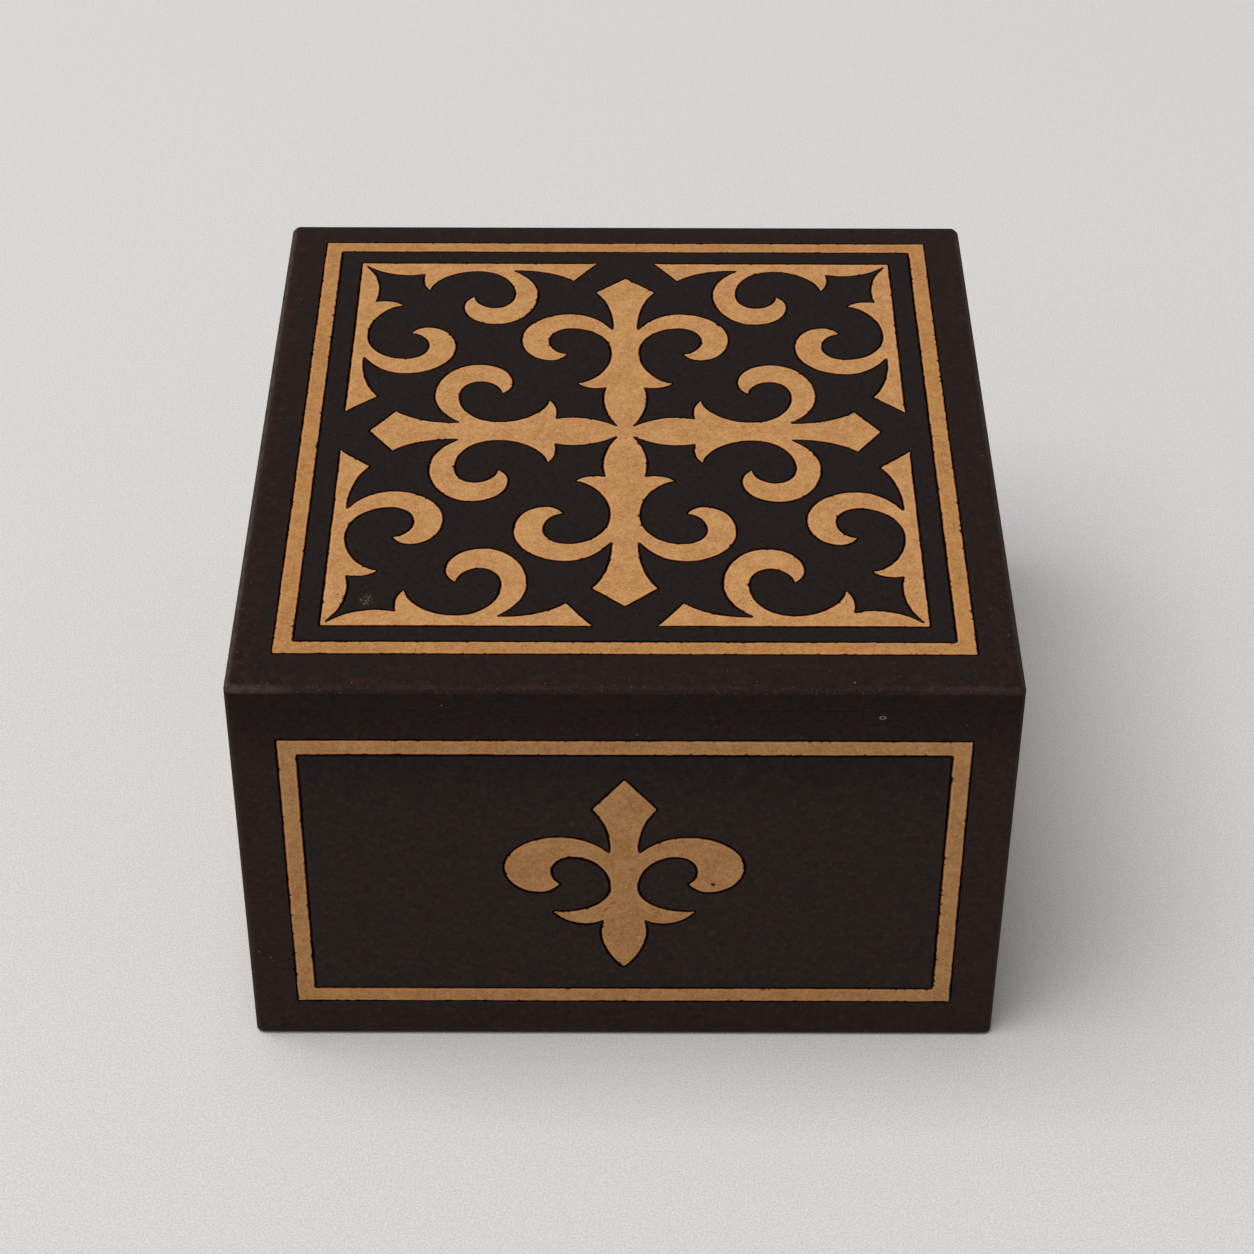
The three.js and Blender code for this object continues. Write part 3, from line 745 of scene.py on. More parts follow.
def group_spot(wires, given):
    """One mark at a place: how far a point is from the centre, in units of the mark's own size, broken by
    noise. Fill is the whole mark, rim its outer ring."""
    away = wires.vector("SUBTRACT", given["Vector"], given["Centre"])
    turned = wires.node("ShaderNodeVectorRotate", {"Vector": away, "Rotation": given["Turn"]},
                        rotation_type="EULER_XYZ").outputs[0]
    units = wires.vector("DIVIDE", turned, given["Size"])
    far = wires.node("ShaderNodeVectorMath", {0: units}, operation="LENGTH").outputs["Value"]
    ragged = wires.math("SUBTRACT", wires.noise(given["Vector"], 0.3 * MM, 2.0), 0.5)
    far = wires.math("ADD", far, wires.times(ragged, given["Raggedness"]))
    fill, hole = wires.ramp(far, 0.75, 1.0, 1.0, 0.0), wires.ramp(far, 0.35, 0.6, 1.0, 0.0)
    return {"Fill": fill, "Rim": wires.math("SUBTRACT", fill, hole, clamp=True)}


# Each node group's function, and its inputs beside the coordinates with their defaults.
GROUPS = {
    "Fibre Mottle": (group_mottle, {"Clump Size": 1.5 * MM, "Grain Size": 0.25 * MM}),
    "Flecks": (group_flecks, {"Cell Size": 1 * MM, "Share Of Cells": 0.3, "Fill": 0.3}),
    "Curled Hairs": (group_hairs, {"Shift": (0.0, 0.0, 0.0), "Curl Size": 1.5 * MM, "Thinness": 0.016}),
    "Edge Wear": (group_wear, {
        "Half Width": 0.05, "Half Depth": 0.05, "Height": 0.06,
        "Reach": 1 * MM, "Patch Size": 2 * MM, "Amount": 0.5,
    }),
    "Spot": (group_spot, {
        "Centre": (0.0, 0.0, 0.0), "Turn": (0.0, 0.0, 0.0), "Size": (1.0, 1.0, 1.0), "Raggedness": 0.3,
    }),
}


def group_named(name):
    """The node group of that name, made at its first use, with numbers as its outputs."""
    found = bpy.data.node_groups.get(name)
    if found:
        return found
    make, defaults = GROUPS[name]
    tree = bpy.data.node_groups.new(name, "ShaderNodeTree")
    for label, default in {"Vector": (0.0, 0.0, 0.0), **defaults}.items():
        kind = "NodeSocketVector" if isinstance(default, tuple) else "NodeSocketFloat"
        tree.interface.new_socket(name=label, in_out="INPUT", socket_type=kind).default_value = default
    wires = Wires(tree)
    outputs = make(wires, tree.nodes.new("NodeGroupInput").outputs)
    for label in outputs:
        tree.interface.new_socket(name=label, in_out="OUTPUT", socket_type="NodeSocketFloat")
    wires.feed(tree.nodes.new("NodeGroupOutput"), outputs)
    return tree


def material_named(name, paint, *given):
    """The material of that name, made at its first use: a function gives the inputs of its surface shader
    from the object's own coordinates."""
    found = bpy.data.materials.get(name)
    if found:
        return found
    material = bpy.data.materials.new(name)
    material.use_nodes = True
    material.node_tree.nodes.clear()
    wires = Wires(material.node_tree)
    shader = wires.node("ShaderNodeBsdfPrincipled")
    wires.node("ShaderNodeOutputMaterial", {"Surface": shader.outputs[0]})
    wires.feed(shader, paint(wires, wires.node("ShaderNodeTexCoord").outputs["Object"], *given))
    return material


# Materials


def two_tones(wires, mottle, colour):
    """A dark stain whose clumps are lighter and darker, and whose grain runs from nearly neutral to red."""
    dull, red = scaled(colour, (0.55, 0.8, 0.86)), scaled(colour, (1.4, 1.1, 1.0))
    return wires.layers(
        wires.mix(wires.ramp(mottle["Grain"], 0.35, 0.65), dull, red),
        (scaled(colour, 0.35), wires.ramp(mottle["Clumps"], 0.5, 0.25, 0.0, 0.5)),
        (scaled(colour, 1.9), wires.ramp(mottle["Clumps"], 0.5, 0.75, 0.0, 0.5)),
    )


def painted_height_shade(wires, height, turn, lid_painted_shade, stain):
    """The stain at its own level on the walls, darkened from the turn up to the lid's face to a share of it:
    painted shade, darker towards the top.
    """
    return wires.mix(wires.ramp(height, turn, LID_FACE, 1.0, lid_painted_shade, soft=False), (0.0, 0.0, 0.0), stain)


def dark_surface(wires, mottle, stain, char):
    """A dull stained surface, burnt where the board was cut, with the mottle as its relief."""
    return {
        "Base Color": wires.layers(stain, (char, wires.ramp(wires.attribute("char"), 0.13, 0.6, soft=False))),
        "Roughness": wires.ramp(mottle["Clumps"], 0.3, 0.7, 0.58, 0.7),
        "Specular IOR Level": 0.04,
        "Normal": wires.bump(wires.math("ADD", mottle["Grain"], mottle["Clumps"]), 0.3, 0.04 * MM),
    }


def paint_dark_board(wires, place_at):
    """Dark stained board: soft clumps, reddish fibres that show most near the edges, rubbed edges, a painted
    sheen on the lid's eased edge, and painted shade that darkens it towards the top.
    """
    look, char = bpy.context.scene.puzzle_box_boards, bpy.context.scene.puzzle_box_inlay.char
    half_width, half_depth, height = (float(size) for size in cad_box[1])
    block = {"half_width": half_width, "half_depth": half_depth, "height": height, "amount": look.wear}
    rubbed = wires.use("Edge Wear", place_at, reach=1.1 * MM, patch_size=0.9 * MM, **block)["Mask"]
    near = wires.use("Edge Wear", place_at, reach=5.5 * MM, patch_size=2.5 * MM, **block)["Nearness"]
    rub_sheen_chips = wires.attribute("rub_sheen_chips")
    across, _, up = wires.parts(place_at)

    # flecks, hairs and pale chips, and the clouds that the stain is made of
    mottle = wires.use("Fibre Mottle", place_at, clump_size=0.8 * MM, grain_size=0.2 * MM)
    crowd = wires.math("MAXIMUM", wires.ramp(near, 0, 1, 0.015, 0.14), wires.times(rub_sheen_chips, 0.85))
    red = wires.use("Flecks", place_at, cell_size=0.42 * MM, share_of_cells=crowd, fill=0.23)
    lying = wires.moved(place_at, (0.2, 0.1, 1.2), (1, 0.3, 1))
    hair = wires.use("Flecks", lying, cell_size=0.42 * MM, share_of_cells=wires.times(crowd, 0.6), fill=0.2)
    pale = wires.use("Flecks", place_at, cell_size=1.5 * MM, share_of_cells=0.07, fill=0.09)
    upright = wires.moved(place_at, (0, 0, 0), (0.14, 0.14, 1))
    streaks = wires.ramp(wires.noise(upright, 0.22 * MM, 3.0, 0.6), 0.52, 0.75)
    patches = wires.ramp(wires.noise(place_at, 1.8 * MM, 4.0, 0.65), 0.45, 0.68)
    broken = wires.ramp(wires.noise(place_at, 1.1 * MM, 4.0, 0.7), 0.46, 0.62)
    sheen_patches = wires.ramp(wires.noise(place_at, 2.5 * MM, 4.0, 0.7), 0.35, 0.65, 0.3, 1.0)

    # where the lid is warm in tone, where its edge carries the painted sheen, and where it is worn along a
    # line
    on_lid = wires.ramp(up, LID_FACE - 4 * MM, LID_FACE, 0.3, 1.0)
    sheen_along = wires.math("MAXIMUM", wires.ramp(across, *WEAR_AND_SHEEN_FADE, 0.85, 0.06),
                         wires.ramp(across, *SHEEN_RISE, 0.06, 0.34))
    fading = wires.times(rub_sheen_chips, wires.math("SUBTRACT", 1.0, rub_sheen_chips), 4.0)

    stain = wires.layers(
        two_tones(wires, mottle, look.colour),
        (scaled(look.colour, 1.7), streaks, 0.35),
        (look.warm_colour, patches, on_lid,
         wires.ramp(near, 0, 1, 0.15, 0.5), wires.ramp(rub_sheen_chips, 0, 1, 1.0, 0.4)),
    )
    chip = wires.use("Spot", place_at, centre=CHIP_PLACE, size=CHIP_SIZE, raggedness=0.35)
    worn_end = wires.use("Spot", place_at, centre=WORN_END_PLACE, size=WORN_END_SIZE, raggedness=1.2)
    stain = wires.layers(
        # painted shade: the stain darkens towards the top and on the lid's face
        painted_height_shade(wires, up, BOARD_SHADE_TURN, look.lid_painted_shade, stain),
        (look.worn_colour, rubbed, 0.2),
        # painted highlight: the sheen of the lid's eased edge, as a paler grey that fades along the box
        (look.sheen_colour, rub_sheen_chips, sheen_along, sheen_patches),
        (look.worn_colour, fading, broken, wires.ramp(across, *WEAR_AND_SHEEN_FADE, 0.4, 0.1)),
        (look.fleck_colour, hair["Mask"], 0.4),
        (look.fleck_colour, red["Mask"], wires.ramp(red["Tone"], 0, 1, 0.3, 1.0)),
        (look.chip_colour, pale["Mask"], 0.8),
        (char, chip["Fill"], 0.6),
        (look.chip_colour, chip["Rim"], 0.85),
        (look.worn_colour, worn_end["Fill"], 0.2),
    )
    return dark_surface(wires, mottle, stain, char)


def paint_field(wires, place_at):
    """Charcoal stained board of the fields: more neutral, with fine pale flecks, a scuff on the lid, and
    painted shade that darkens it towards the top.
    """
    look = bpy.context.scene.puzzle_box_inlay
    mottle = wires.use("Fibre Mottle", place_at, clump_size=0.7 * MM, grain_size=0.2 * MM)
    pale = wires.use("Flecks", place_at, cell_size=1.6 * MM, share_of_cells=0.12, fill=0.09)
    fine = wires.use("Flecks", place_at, cell_size=0.25 * MM, share_of_cells=0.75, fill=0.45)["Mask"]
    scuff = wires.use("Spot", place_at, centre=SCUFF_PLACE, size=SCUFF_SIZE, raggedness=1.0)["Fill"]
    around = wires.use("Spot", place_at, centre=SCUFF_PLACE, size=SCUFF_REACH, raggedness=0.8)["Fill"]
    scratched = wires.moved(place_at, (0, 0, 0.9), (1, 0.3, 1))
    scratches = wires.ramp(wires.noise(scratched, 0.1 * MM, 3.0), 0.55, 0.68, 0.0, 0.4)
    specks = wires.times(wires.math("MAXIMUM", fine, scratches), scuff)
    strays = wires.times(pale["Mask"], around, 0.8)
    height = wires.parts(place_at)[2]
    stain = wires.layers(
        # painted shade: the field darkens towards the top and on the lid's face
        painted_height_shade(wires, height, FIELD_SHADE_TURN, look.field_lid_painted_shade, two_tones(wires, mottle, look.field)),
        (look.field_fleck, pale["Mask"], pale["Tone"]),
        (look.scuff, wires.math("MAXIMUM", specks, strays), 0.85),
    )
    return dark_surface(wires, mottle, stain, look.char)


def paint_tan(wires, place_at, tint=(1.0, 1.0, 1.0)):
    """Tan board with its own tint: soft clumps, brown specks, fibres in two directions, curled hairs, and
    scorched cut edges with a painted highlight as a pale rim just inside them."""
    look = bpy.context.scene.puzzle_box_inlay
    mottle = wires.use("Fibre Mottle", place_at, clump_size=1.1 * MM, grain_size=0.24 * MM)
    broad = wires.ramp(wires.noise(place_at, 4 * MM, 3.0), 0.38, 0.62)
    speck = wires.use("Flecks", place_at, cell_size=1.1 * MM, share_of_cells=0.75, fill=0.14)
    swirl = wires.math("SUBTRACT", wires.noise(place_at, 1.6 * MM, 1.0), 0.5)
    bent = wires.vector("ADD", place_at, wires.times(swirl, 2.6 * MM))
    long_a = wires.moved(bent, (0.4, 0.3, 0.6), (1, 0.14, 1))
    long_b = wires.moved(bent, (-0.3, 0.5, 2.1), (1, 0.22, 1))
    fibre_a = wires.use("Flecks", long_a, cell_size=0.5 * MM, share_of_cells=0.5, fill=0.19)
    fibre_b = wires.use("Flecks", long_b, cell_size=0.45 * MM, share_of_cells=0.3, fill=0.22)
    blush = wires.ramp(wires.noise(bent, 2.4 * MM, 3.0, 0.6), 0.56, 0.72)
    large = wires.use("Curled Hairs", place_at, curl_size=1.7 * MM)["Mask"]
    small = wires.use("Curled Hairs", place_at, shift=(5 * MM, 3 * MM, 8 * MM), curl_size=1.1 * MM)["Mask"]
    clumps = wires.ramp(mottle["Clumps"], 0.3, 0.7)
    shade = wires.math("ADD", wires.times(broad, 0.4), wires.times(clumps, 0.6))
    pit = wires.use("Spot", place_at, centre=PIT_PLACE, turn=PIT_TURN, size=PIT_SIZE, raggedness=0.3)["Fill"]
    bare = [wires.use("Spot", place_at, centre=centre, turn=turn, size=size, raggedness=0.5)["Fill"]
            for centre, size, turn in BARE_STREAKS]
    burn = wires.attribute("char")
    wood = wires.layers(
        wires.mix(shade, look.tan_dark, look.tan),
        (look.warm_scorch, blush, 0.38),
        (look.pale_fibre_and_highlight, wires.ramp(mottle["Grain"], 0.5, 0.75, 0.0, 0.55)),
        (look.fibre, wires.ramp(mottle["Grain"], 0.5, 0.25, 0.0, 0.38)),
        (look.fibre, fibre_a["Mask"], wires.ramp(fibre_a["Tone"], 0, 1, 0.2, 0.75)),
        (look.fibre, wires.math("MAXIMUM", large, small), 0.4),
        (look.pale_fibre_and_highlight, fibre_b["Mask"], 0.35),
        (look.scorch, speck["Mask"], wires.ramp(speck["Tone"], 0, 1, 0.35, 0.95)),
        (look.char, pit, 0.95),
        *((look.warm_scorch, streak, 0.9) for streak in bare),
        # painted highlight: a pale rim just inside each cut edge, where its arris catches the light
        (look.pale_fibre_and_highlight, wires.ramp(burn, 0.01, 0.09, 0.0, 0.34)),
    )
    wood = wires.layers(
        wires.mix(1.0, wood, tint, blend="MULTIPLY"),
        (look.scorch, wires.ramp(wires.attribute("rub_sheen_chips"), 0.04, 0.5, 0.0, 0.85)),
        (look.warm_scorch, wires.ramp(burn, 0.12, 0.24, soft=False)),
        (look.char, wires.ramp(burn, 0.26, 0.62, soft=False)),
    )
    return {
        "Base Color": wood,
        "Roughness": wires.ramp(mottle["Grain"], 0.3, 0.7, 0.55, 0.68),
        "Specular IOR Level": 0.12,
        "Normal": wires.bump(mottle["Grain"], 0.2, 0.03 * MM),
    }


def paint_natural(wires, place_at):
    """Plain board of the inside, with burnt edges where the laser cut it."""
    look = bpy.context.scene.puzzle_box_interior
    mottle = wires.use("Fibre Mottle", place_at, clump_size=2.2 * MM, grain_size=0.3 * MM)
    speck = wires.use("Flecks", place_at, cell_size=1.4 * MM, share_of_cells=0.35, fill=0.16)
    long = wires.moved(place_at, (0.5, 0.2, 0.9), (1, 0.25, 1))
    fibre = wires.use("Flecks", long, cell_size=0.6 * MM, share_of_cells=0.35, fill=0.3)
    streaks = wires.noise(place_at, 0.5 * MM, 3.0)
    return {
        "Base Color": wires.layers(
            wires.mix(wires.ramp(mottle["Clumps"], 0.3, 0.7), look.shade, look.colour),
            (scaled(look.colour, 0.5), fibre["Mask"], 0.3),
            (look.cut, speck["Mask"], 0.6),
            (look.cut, wires.attribute("char"), wires.ramp(streaks, 0.3, 0.7, 0.75, 1.0)),
        ),
        "Roughness": wires.ramp(mottle["Grain"], 0.3, 0.7, 0.6, 0.75),
        "Specular IOR Level": 0.2,
        "Normal": wires.bump(wires.math("ADD", mottle["Grain"], mottle["Clumps"]), 0.25, 0.04 * MM),
    }


def paint_steel(wires, place_at):
    """Turned steel: fine rings round the pin's axis and faint rub marks along it."""
    look = bpy.context.scene.puzzle_box_pins
    rings = wires.noise(wires.moved(place_at, (0, 0, 0), (1, 0.02, 0.02)), 0.06 * MM, 3.0)
    rubs = wires.noise(wires.moved(place_at, (0, 0, 0), (0.1, 1, 1)), 0.5 * MM, 2.0)
    return {
        "Base Color": wires.mix(wires.ramp(rings, 0.3, 0.7), scaled(look.steel, 0.75), look.steel),
        "Roughness": wires.ramp(rubs, 0.3, 0.7, 0.22, 0.4),
        "Metallic": 1.0,
        "Normal": wires.bump(rings, 0.3, 0.01 * MM),
    }


def paint_floor(wires, place_at):
    """Pale paper-like floor with a faint tooth."""
    pale = bpy.context.scene.puzzle_box_stage.floor_colour
    tooth = wires.noise(place_at, 0.3 * MM, 2.0, 0.6)
    cloud = wires.noise(place_at, 1.3 * MM, 2.0)
    drift = wires.noise(place_at, 120 * MM, 1.0)
    return {
        "Base Color": wires.layers(
            wires.mix(wires.ramp(tooth, 0.3, 0.7), scaled(pale, 0.88), scaled(pale, 1.1)),
            ((0.5, 0.49, 0.48), wires.ramp(cloud, 0.3, 0.7, 0.0, 0.08)),
            ((0.6, 0.59, 0.58), wires.ramp(drift, 0.3, 0.7, 0.0, 0.03)),
        ),
        "Roughness": 0.9,
        "Specular IOR Level": 0.05,
    }


# Each slot's material, as its name and its function.
FINISHES = {
    "dark_board": ("Dark Stained Board", paint_dark_board),
    "dark_field": ("Dark Field Board", paint_field),
    "tan_inlay": ("Tan Inlay Board", paint_tan),
    "natural_board": ("Natural Board", paint_natural),
    "pin_steel": ("Turned Steel", paint_steel),
}

# The pieces


def drawn_half(plane, node):
    """Half the width and height of the line that a node was cut along: its box and half the solids' gap."""
    low, high = plane.extent(node)
    return (high[0] - low[0] + CAD_CUT) / 2, (high[1] - low[1] + CAD_CUT) / 2


def lid_lines(plane):
    """The cross and the four corners of the lid as drawn lines, by node name. The ornament reaches as far as
    the outer corner of a corner piece."""
    _, high = plane.extent("lid_corner_back_right_inlay")
    half = high[0] + CAD_CUT / 2, high[1] + CAD_CUT / 2
    lines = {"lid_cross_inlay": cross_line(*half)}
    for name, (side_x, side_y) in LID_CORNERS.items():
        lines[f"lid_corner_{name}_inlay"] = corner_line(*half, side_x, side_y)
    return lines


def make_inlays(face, plane, ornaments, random):
    """The frame, the field and the ornaments of one face."""
    look, rough = bpy.context.scene.puzzle_box_inlay, ROUGH_SIDES[face]
    frame_node, field_node = f"{face}_frame_inlay", f"{face}_field_inlay"
    outer, inner = (rectangle_line(*drawn_half(plane, node)) for node in (frame_node, field_node))
    low, high = plane.extent(frame_node)
    thickness = high[2] - low[2]
    tan = (TAN_CHAR, look.scorch_reach, random, look)
    dark = (FIELD_CHAR, look.soot_reach, random, look)
    board = material_named("Tan Lid Frame", paint_tan, look.lid_frame_tint) if face == "lid" else None
    border = [(outer, -1), (inner, 1)]
    place(inlay_shell(border, thickness, FRAME_CHIPS, rough, *tan), frame_node, plane, board)
    ground = [(inner, -1), *((line, 1) for line in ornaments.values())]
    place(inlay_shell(ground, thickness, FIELD_CHIPS, rough, *dark), field_node, plane)
    for node, line in ornaments.items():
        place(inlay_shell([(line, -1)], thickness, ORNAMENT_CHIPS, rough, *tan), node, plane)


def make_slab(node):
    """A plain inner board: a rounded box whose face looks along its shortest side, burnt all round."""
    low, high = (np.array(corner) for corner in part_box(node))
    thin = int(np.argmin(np.round(high - low, 6)))
    unit = np.eye(3)
    plane = Plane(node, unit[(thin + 1) % 3], unit[(thin + 2) % 3])
    radius = bpy.context.scene.puzzle_box_interior.edge_round
    shell, rim = board_shell(*plane.extent(node), [radius] * 4, [SLAB_CORNER] * 4, radius)
    shell.cap([rim], up=True)
    char = shell.char[0].reshape(-1, len(rim)).copy()
    char[1:-1] = 1
    shell.char = [char.ravel()]
    place(shell, node, plane)


def pin_profile(radius, full, look):
    """Radii and levels along a pin from its outer end to its nose: a drilled centre, a chamfer, a groove, the
    nose's quarter round and another drilled centre."""
    drilled = np.array([(1.1, 0), (1, 0), (0.6, -0.4), (0.15, -0.85)]) * DRILL_RADIUS
    foot = np.array([(-1.2, 0), (-1, 0), (0, 1), (0, 1.2)]) * PIN_CHAMFER + (radius, -full)
    groove = np.array([(0, 0), (-1, 1), (-1, 2), (0, 3)]) * look.groove + (radius, GROOVE_AT - full)
    inset, level = round_over(look.nose, NOSE_STEPS)
    return np.concatenate([
        drilled[::-1] * (1, -1) - (0, full), foot, groove[:1] - (0, LEAD), groove, groove[-1:] + (0, LEAD),
        [(radius, -look.nose - 2 * LEAD)], np.column_stack([radius - inset, level]), drilled,
    ])


def hang_softbox(name, toward, level, size, distance):
    """A square softbox that looks at the origin from a direction. A small one of power P at distance d lights
    a level white surface to P cos(a) / (pi d)^2, with a the angle between the direction and upright."""
    toward = np.array(toward)
    lamp = bpy.data.lights.new(name, "AREA")
    lamp.shape = "SQUARE"
    lamp.size = size
    lamp.energy = level * (math.pi * distance) ** 2 / toward[2]
    softbox = bpy.data.objects.new(name, lamp)
    right = np.cross((0, 1, 0), toward)
    right = right / np.linalg.norm(right)
    turn = np.column_stack([right, np.cross(toward, right), toward])
    softbox.matrix_world = Matrix.Translation(toward * distance) @ Matrix(turn.tolist()).to_4x4()
    bpy.context.scene.collection.objects.link(softbox)


def lay_floor(look):
    """A level square about the origin."""
    mesh = bpy.data.meshes.new("floor")
    corners = np.array([[-1, -1], [1, -1], [1, 1], [-1, 1]]) * look.floor_size
    mesh.from_pydata(np.column_stack([corners, np.zeros(4)]).tolist(), [], [[0, 1, 2, 3]])
    floor = bpy.data.objects.new("floor", mesh)
    floor.data.materials.append(material_named("Pale Floor", paint_floor))
    bpy.context.scene.collection.objects.link(floor)


def fill_sky(look):
    """Even light from all round, and the floor's own colour wherever the sky itself is seen or mirrored."""
    world = bpy.data.worlds.new("Soft Studio")
    world.use_nodes = True
    world.node_tree.nodes.clear()
    wires = Wires(world.node_tree)
    path = wires.node("ShaderNodeLightPath").outputs
    mirrored = wires.math("MAXIMUM", path["Is Glossy Ray"], path["Is Transmission Ray"])
    seen = wires.math("MAXIMUM", path["Is Camera Ray"], mirrored)
    around = wires.node("ShaderNodeBackground", {"Color": (1, 1, 1), "Strength": look.sky}).outputs[0]
    backdrop = wires.node("ShaderNodeBackground", {"Color": look.floor_colour, "Strength": 1.0}).outputs[0]
    both = wires.node("ShaderNodeMixShader", {0: seen, 1: around, 2: backdrop}).outputs[0]
    wires.node("ShaderNodeOutputWorld", {"Surface": both})
    bpy.context.scene.world = world


def set_camera(look):
    """The camera that took the photo, at its place and with its three turns."""
    lens = bpy.data.cameras.new("camera")
    lens.lens = look.lens
    lens.sensor_width = 36.0
    lens.clip_start, lens.clip_end = 0.01, 50.0
    camera = bpy.data.objects.new("camera", lens)
    pan, tilt, roll = (Matrix.Rotation(math.radians(turn), 4, axis) for turn, axis in CAMERA_TURNS)
    camera.matrix_world = Matrix.Translation(CAMERA_PLACE) @ pan @ tilt @ roll
    bpy.context.scene.collection.objects.link(camera)
    bpy.context.scene.camera = camera


class PuzzleBoxOperator:
    """What the operators share."""

    bl_options = {"REGISTER", "UNDO"}


class OBJECT_OT_puzzle_box_lid_board(PuzzleBoxOperator, bpy.types.Operator):
    """Makes the lid's dark board, with its pocket for the inlay and its lip over the walls"""

    bl_idname = "object.puzzle_box_lid_board"
    bl_label = "Lid Board"

    def execute(self, context):
        look, inlay = context.scene.puzzle_box_boards, context.scene.puzzle_box_inlay
        plane = face_plane("lid")
        low, high = plane.extent("lid_board")
        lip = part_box("front_board")[1][2] - plane.origin[2] + look.seam
        seam_inset, seam_level = (row[::-1] for row in round_over(look.seam_round))
        edge_inset, edge_level = eased_edge(look.edge_round)
        insets = [*(look.lip_width + np.array([*LIP_INSETS, 0, 0])), *seam_inset, 0, 0, *edge_inset]
        levels = [low[2], low[2], low[2] - LIP_STEP, lip, *(lip - seam_level),
                  lip + 3 * look.seam_round, edge_level[0] - LEAD, *edge_level]
        rings = np.array([
            round_rectangle(low[:2] + inset, high[:2] - inset, [max(look.corner_round - inset, 0.1 * MM)] * 4)
            for inset in insets
        ])
        # the rubbed rings of the eased edge also carry the painted sheen
        rub_sheen_chips = np.zeros(len(insets))
        rub_sheen_chips[-len(edge_inset):][:len(EDGE_RUB_AND_SHEEN)] = EDGE_RUB_AND_SHEEN
        shell = Shell()
        index = shell.loft(rings, levels, rub_sheen_chips=rub_sheen_chips[:, None])
        shell.cap([index[0]], up=False)
        add_pocket(shell, plane, "lid_frame_inlay", index[-1], np.random.default_rng(SEED), inlay)
        place(shell, "lid_board", plane)
        return {"FINISHED"}


class OBJECT_OT_puzzle_box_wall_boards(PuzzleBoxOperator, bpy.types.Operator):
    """Makes the four dark outer boards, each with its pocket"""

    bl_idname = "object.puzzle_box_wall_boards"
    bl_label = "Wall Boards"

    def execute(self, context):
        look, inlay = context.scene.puzzle_box_boards, context.scene.puzzle_box_inlay
        top = look.seam_round
        for wall, turn in WALLS.items():
            plane = face_plane(wall)
            overlaps = turn % 2 == 0  # the front and back lie over the ends of the other two
            side, foot = (look.corner_round, look.foot_round) if overlaps else (top, top)
            shell, rim = board_shell(*plane.extent(f"{wall}_board"), [side, side, look.edge_round, top],
                                     [foot, top, top, foot], top)
            add_pocket(shell, plane, f"{wall}_frame_inlay", rim, np.random.default_rng([SEED, turn]), inlay)
            place(shell, f"{wall}_board", plane)
        return {"FINISHED"}


class OBJECT_OT_puzzle_box_lid_inlay(PuzzleBoxOperator, bpy.types.Operator):
    """Makes the lid's frame, field, cross and corners"""

    bl_idname = "object.puzzle_box_lid_inlay"
    bl_label = "Lid Inlay"

    def execute(self, context):
        plane = face_plane("lid")
        make_inlays("lid", plane, lid_lines(plane), np.random.default_rng([SEED, 10]))
        return {"FINISHED"}


class OBJECT_OT_puzzle_box_wall_inlays(PuzzleBoxOperator, bpy.types.Operator):
    """Makes the frame, field and fleur of each side"""

    bl_idname = "object.puzzle_box_wall_inlays"
    bl_label = "Wall Inlays"

    def execute(self, context):
        for wall, turn in WALLS.items():
            plane = face_plane(wall)
            fleur = fleur_line(drawn_half(plane, f"{wall}_field_inlay")[1] - FLEUR_MARGIN)
            make_inlays(wall, plane, {f"{wall}_fleur_inlay": fleur}, np.random.default_rng([SEED, 20 + turn]))
        return {"FINISHED"}


class OBJECT_OT_puzzle_box_inner_boards(PuzzleBoxOperator, bpy.types.Operator):
    """Makes the plain boards and strips: base, liners, guides, lock housing, and the strips under the lid"""

    bl_idname = "object.puzzle_box_inner_boards"
    bl_label = "Inner Boards"

    def execute(self, context):
        for node in BODIES:
            if SLOTS[node] == "natural_board":
                make_slab(node)
        return {"FINISHED"}


class OBJECT_OT_puzzle_box_lock_pins(PuzzleBoxOperator, bpy.types.Operator):
    """Makes the two turned steel pins, each with a rounded nose, a groove and drilled ends"""

    bl_idname = "object.puzzle_box_lock_pins"
    bl_label = "Lock Pins"

    def execute(self, context):
        y_axis, z_axis = (0, 1, 0), (0, 0, 1)
        circle = np.exp(2j * np.pi * np.arange(PIN_SIDES) / PIN_SIDES)
        for node, axes in (("lock_pin_left", (y_axis, z_axis)), ("lock_pin_right", (z_axis, y_axis))):
            plane = Plane(node, *axes)
            profile = pin_profile(plane.half[0], plane.half[2] * 2, context.scene.puzzle_box_pins)
            shell = Shell()
            index = shell.loft(profile[:, :1] * circle, profile[:, 1])
            shell.cap([index[0]], up=False)
            shell.cap([index[-1]], up=True)
            place(shell, node, plane)
        return {"FINISHED"}


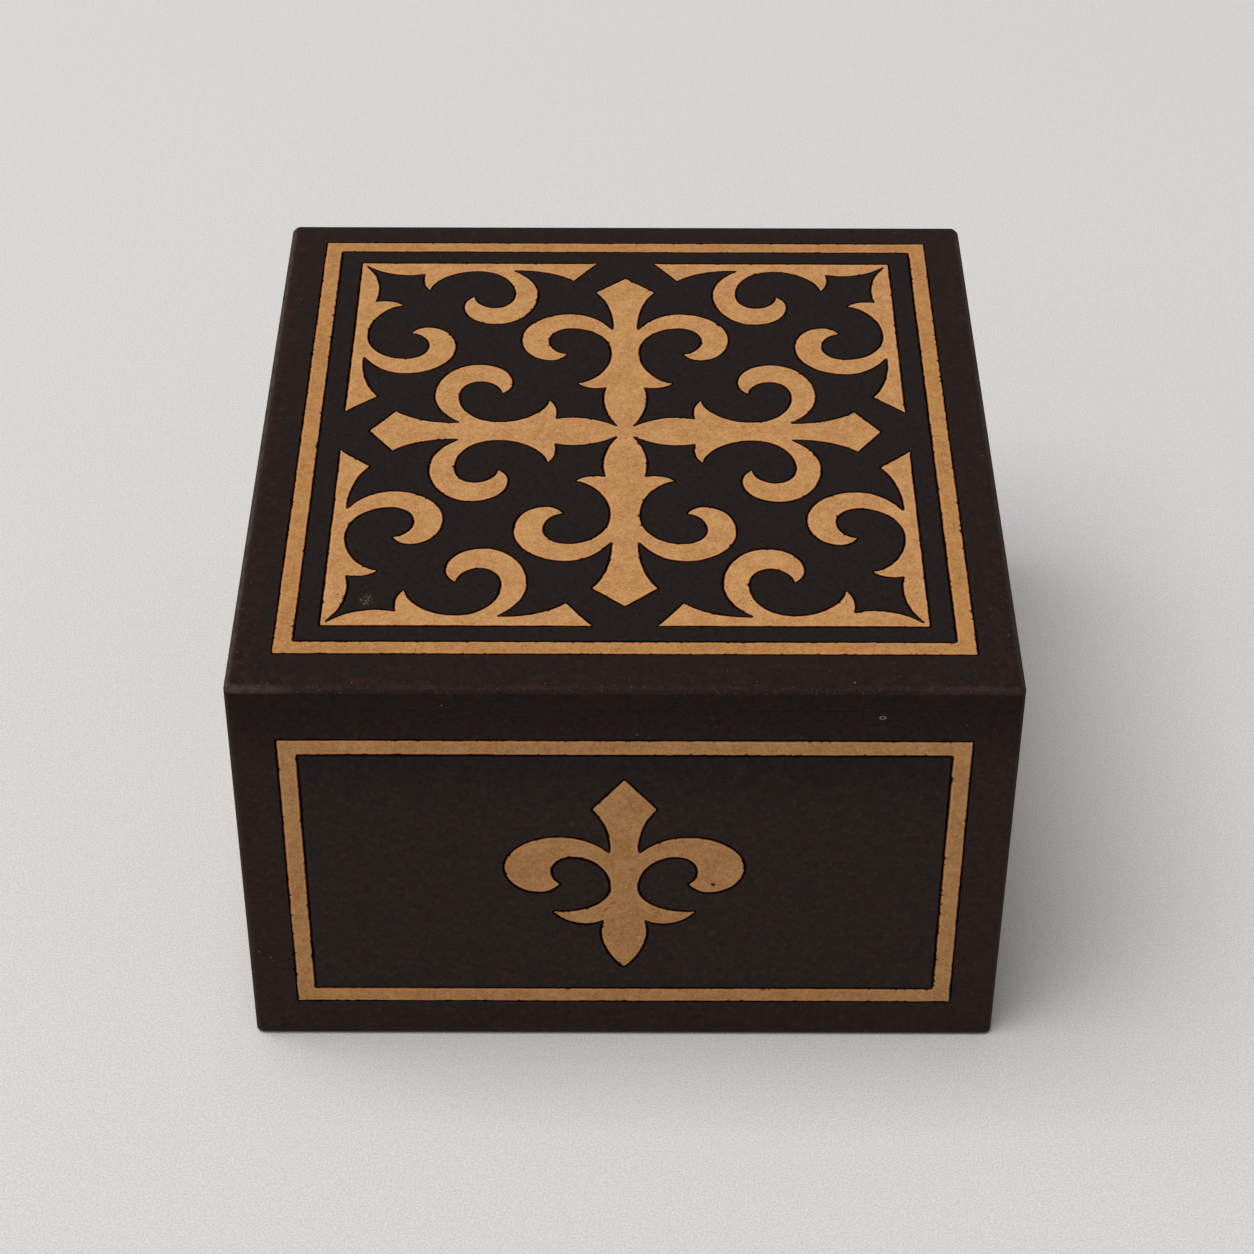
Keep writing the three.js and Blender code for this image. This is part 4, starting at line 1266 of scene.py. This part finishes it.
class OBJECT_OT_puzzle_box_stage(PuzzleBoxOperator, bpy.types.Operator):
    """Makes the pale floor, the soft light and the camera"""

    bl_idname = "object.puzzle_box_stage"
    bl_label = "Stage"

    def execute(self, context):
        look = context.scene.puzzle_box_stage
        context.scene.view_settings.view_transform = "Standard"
        lay_floor(look)
        fill_sky(look)
        hang_softbox("key", KEY_FROM, look.key, look.key_size, look.distance)
        hang_softbox("fill", FILL_FROM, look.fill, look.fill_size, look.distance)
        set_camera(look)
        return {"FINISHED"}


OPERATORS = (
    OBJECT_OT_puzzle_box_lid_board, OBJECT_OT_puzzle_box_wall_boards, OBJECT_OT_puzzle_box_lid_inlay,
    OBJECT_OT_puzzle_box_wall_inlays, OBJECT_OT_puzzle_box_inner_boards, OBJECT_OT_puzzle_box_lock_pins,
    OBJECT_OT_puzzle_box_stage,
)
SETTINGS = {
    "puzzle_box_boards": DarkBoardSettings,
    "puzzle_box_inlay": InlaySettings,
    "puzzle_box_interior": InteriorSettings,
    "puzzle_box_pins": PinSettings,
    "puzzle_box_stage": StageSettings,
}


class VIEW3D_PT_puzzle_box(bpy.types.Panel):
    """Lists the puzzle box's pieces and their settings"""

    bl_label = "Puzzle Box"
    bl_idname = "VIEW3D_PT_puzzle_box"
    bl_space_type = "VIEW_3D"
    bl_region_type = "UI"
    bl_category = "Puzzle Box"

    def draw(self, context):
        column = self.layout.column(align=True)
        for operator in OPERATORS:
            column.operator(operator.bl_idname)
        for name, kind in SETTINGS.items():
            box = self.layout.box()
            box.label(text=kind.__doc__)
            for key in kind.__annotations__:
                box.prop(getattr(context.scene, name), key)


CLASSES = (*SETTINGS.values(), *OPERATORS, VIEW3D_PT_puzzle_box)


def register():
    for made in CLASSES:
        bpy.utils.register_class(made)
    for name, kind in SETTINGS.items():
        setattr(bpy.types.Scene, name, bpy.props.PointerProperty(type=kind))


def unregister():
    for name in SETTINGS:
        delattr(bpy.types.Scene, name)
    for made in reversed(CLASSES):
        bpy.utils.unregister_class(made)


def main():
    register()
    for operator in OPERATORS:
        group, name = operator.bl_idname.split(".")
        getattr(getattr(bpy.ops, group), name)()


if __name__ == "__main__":
    main()
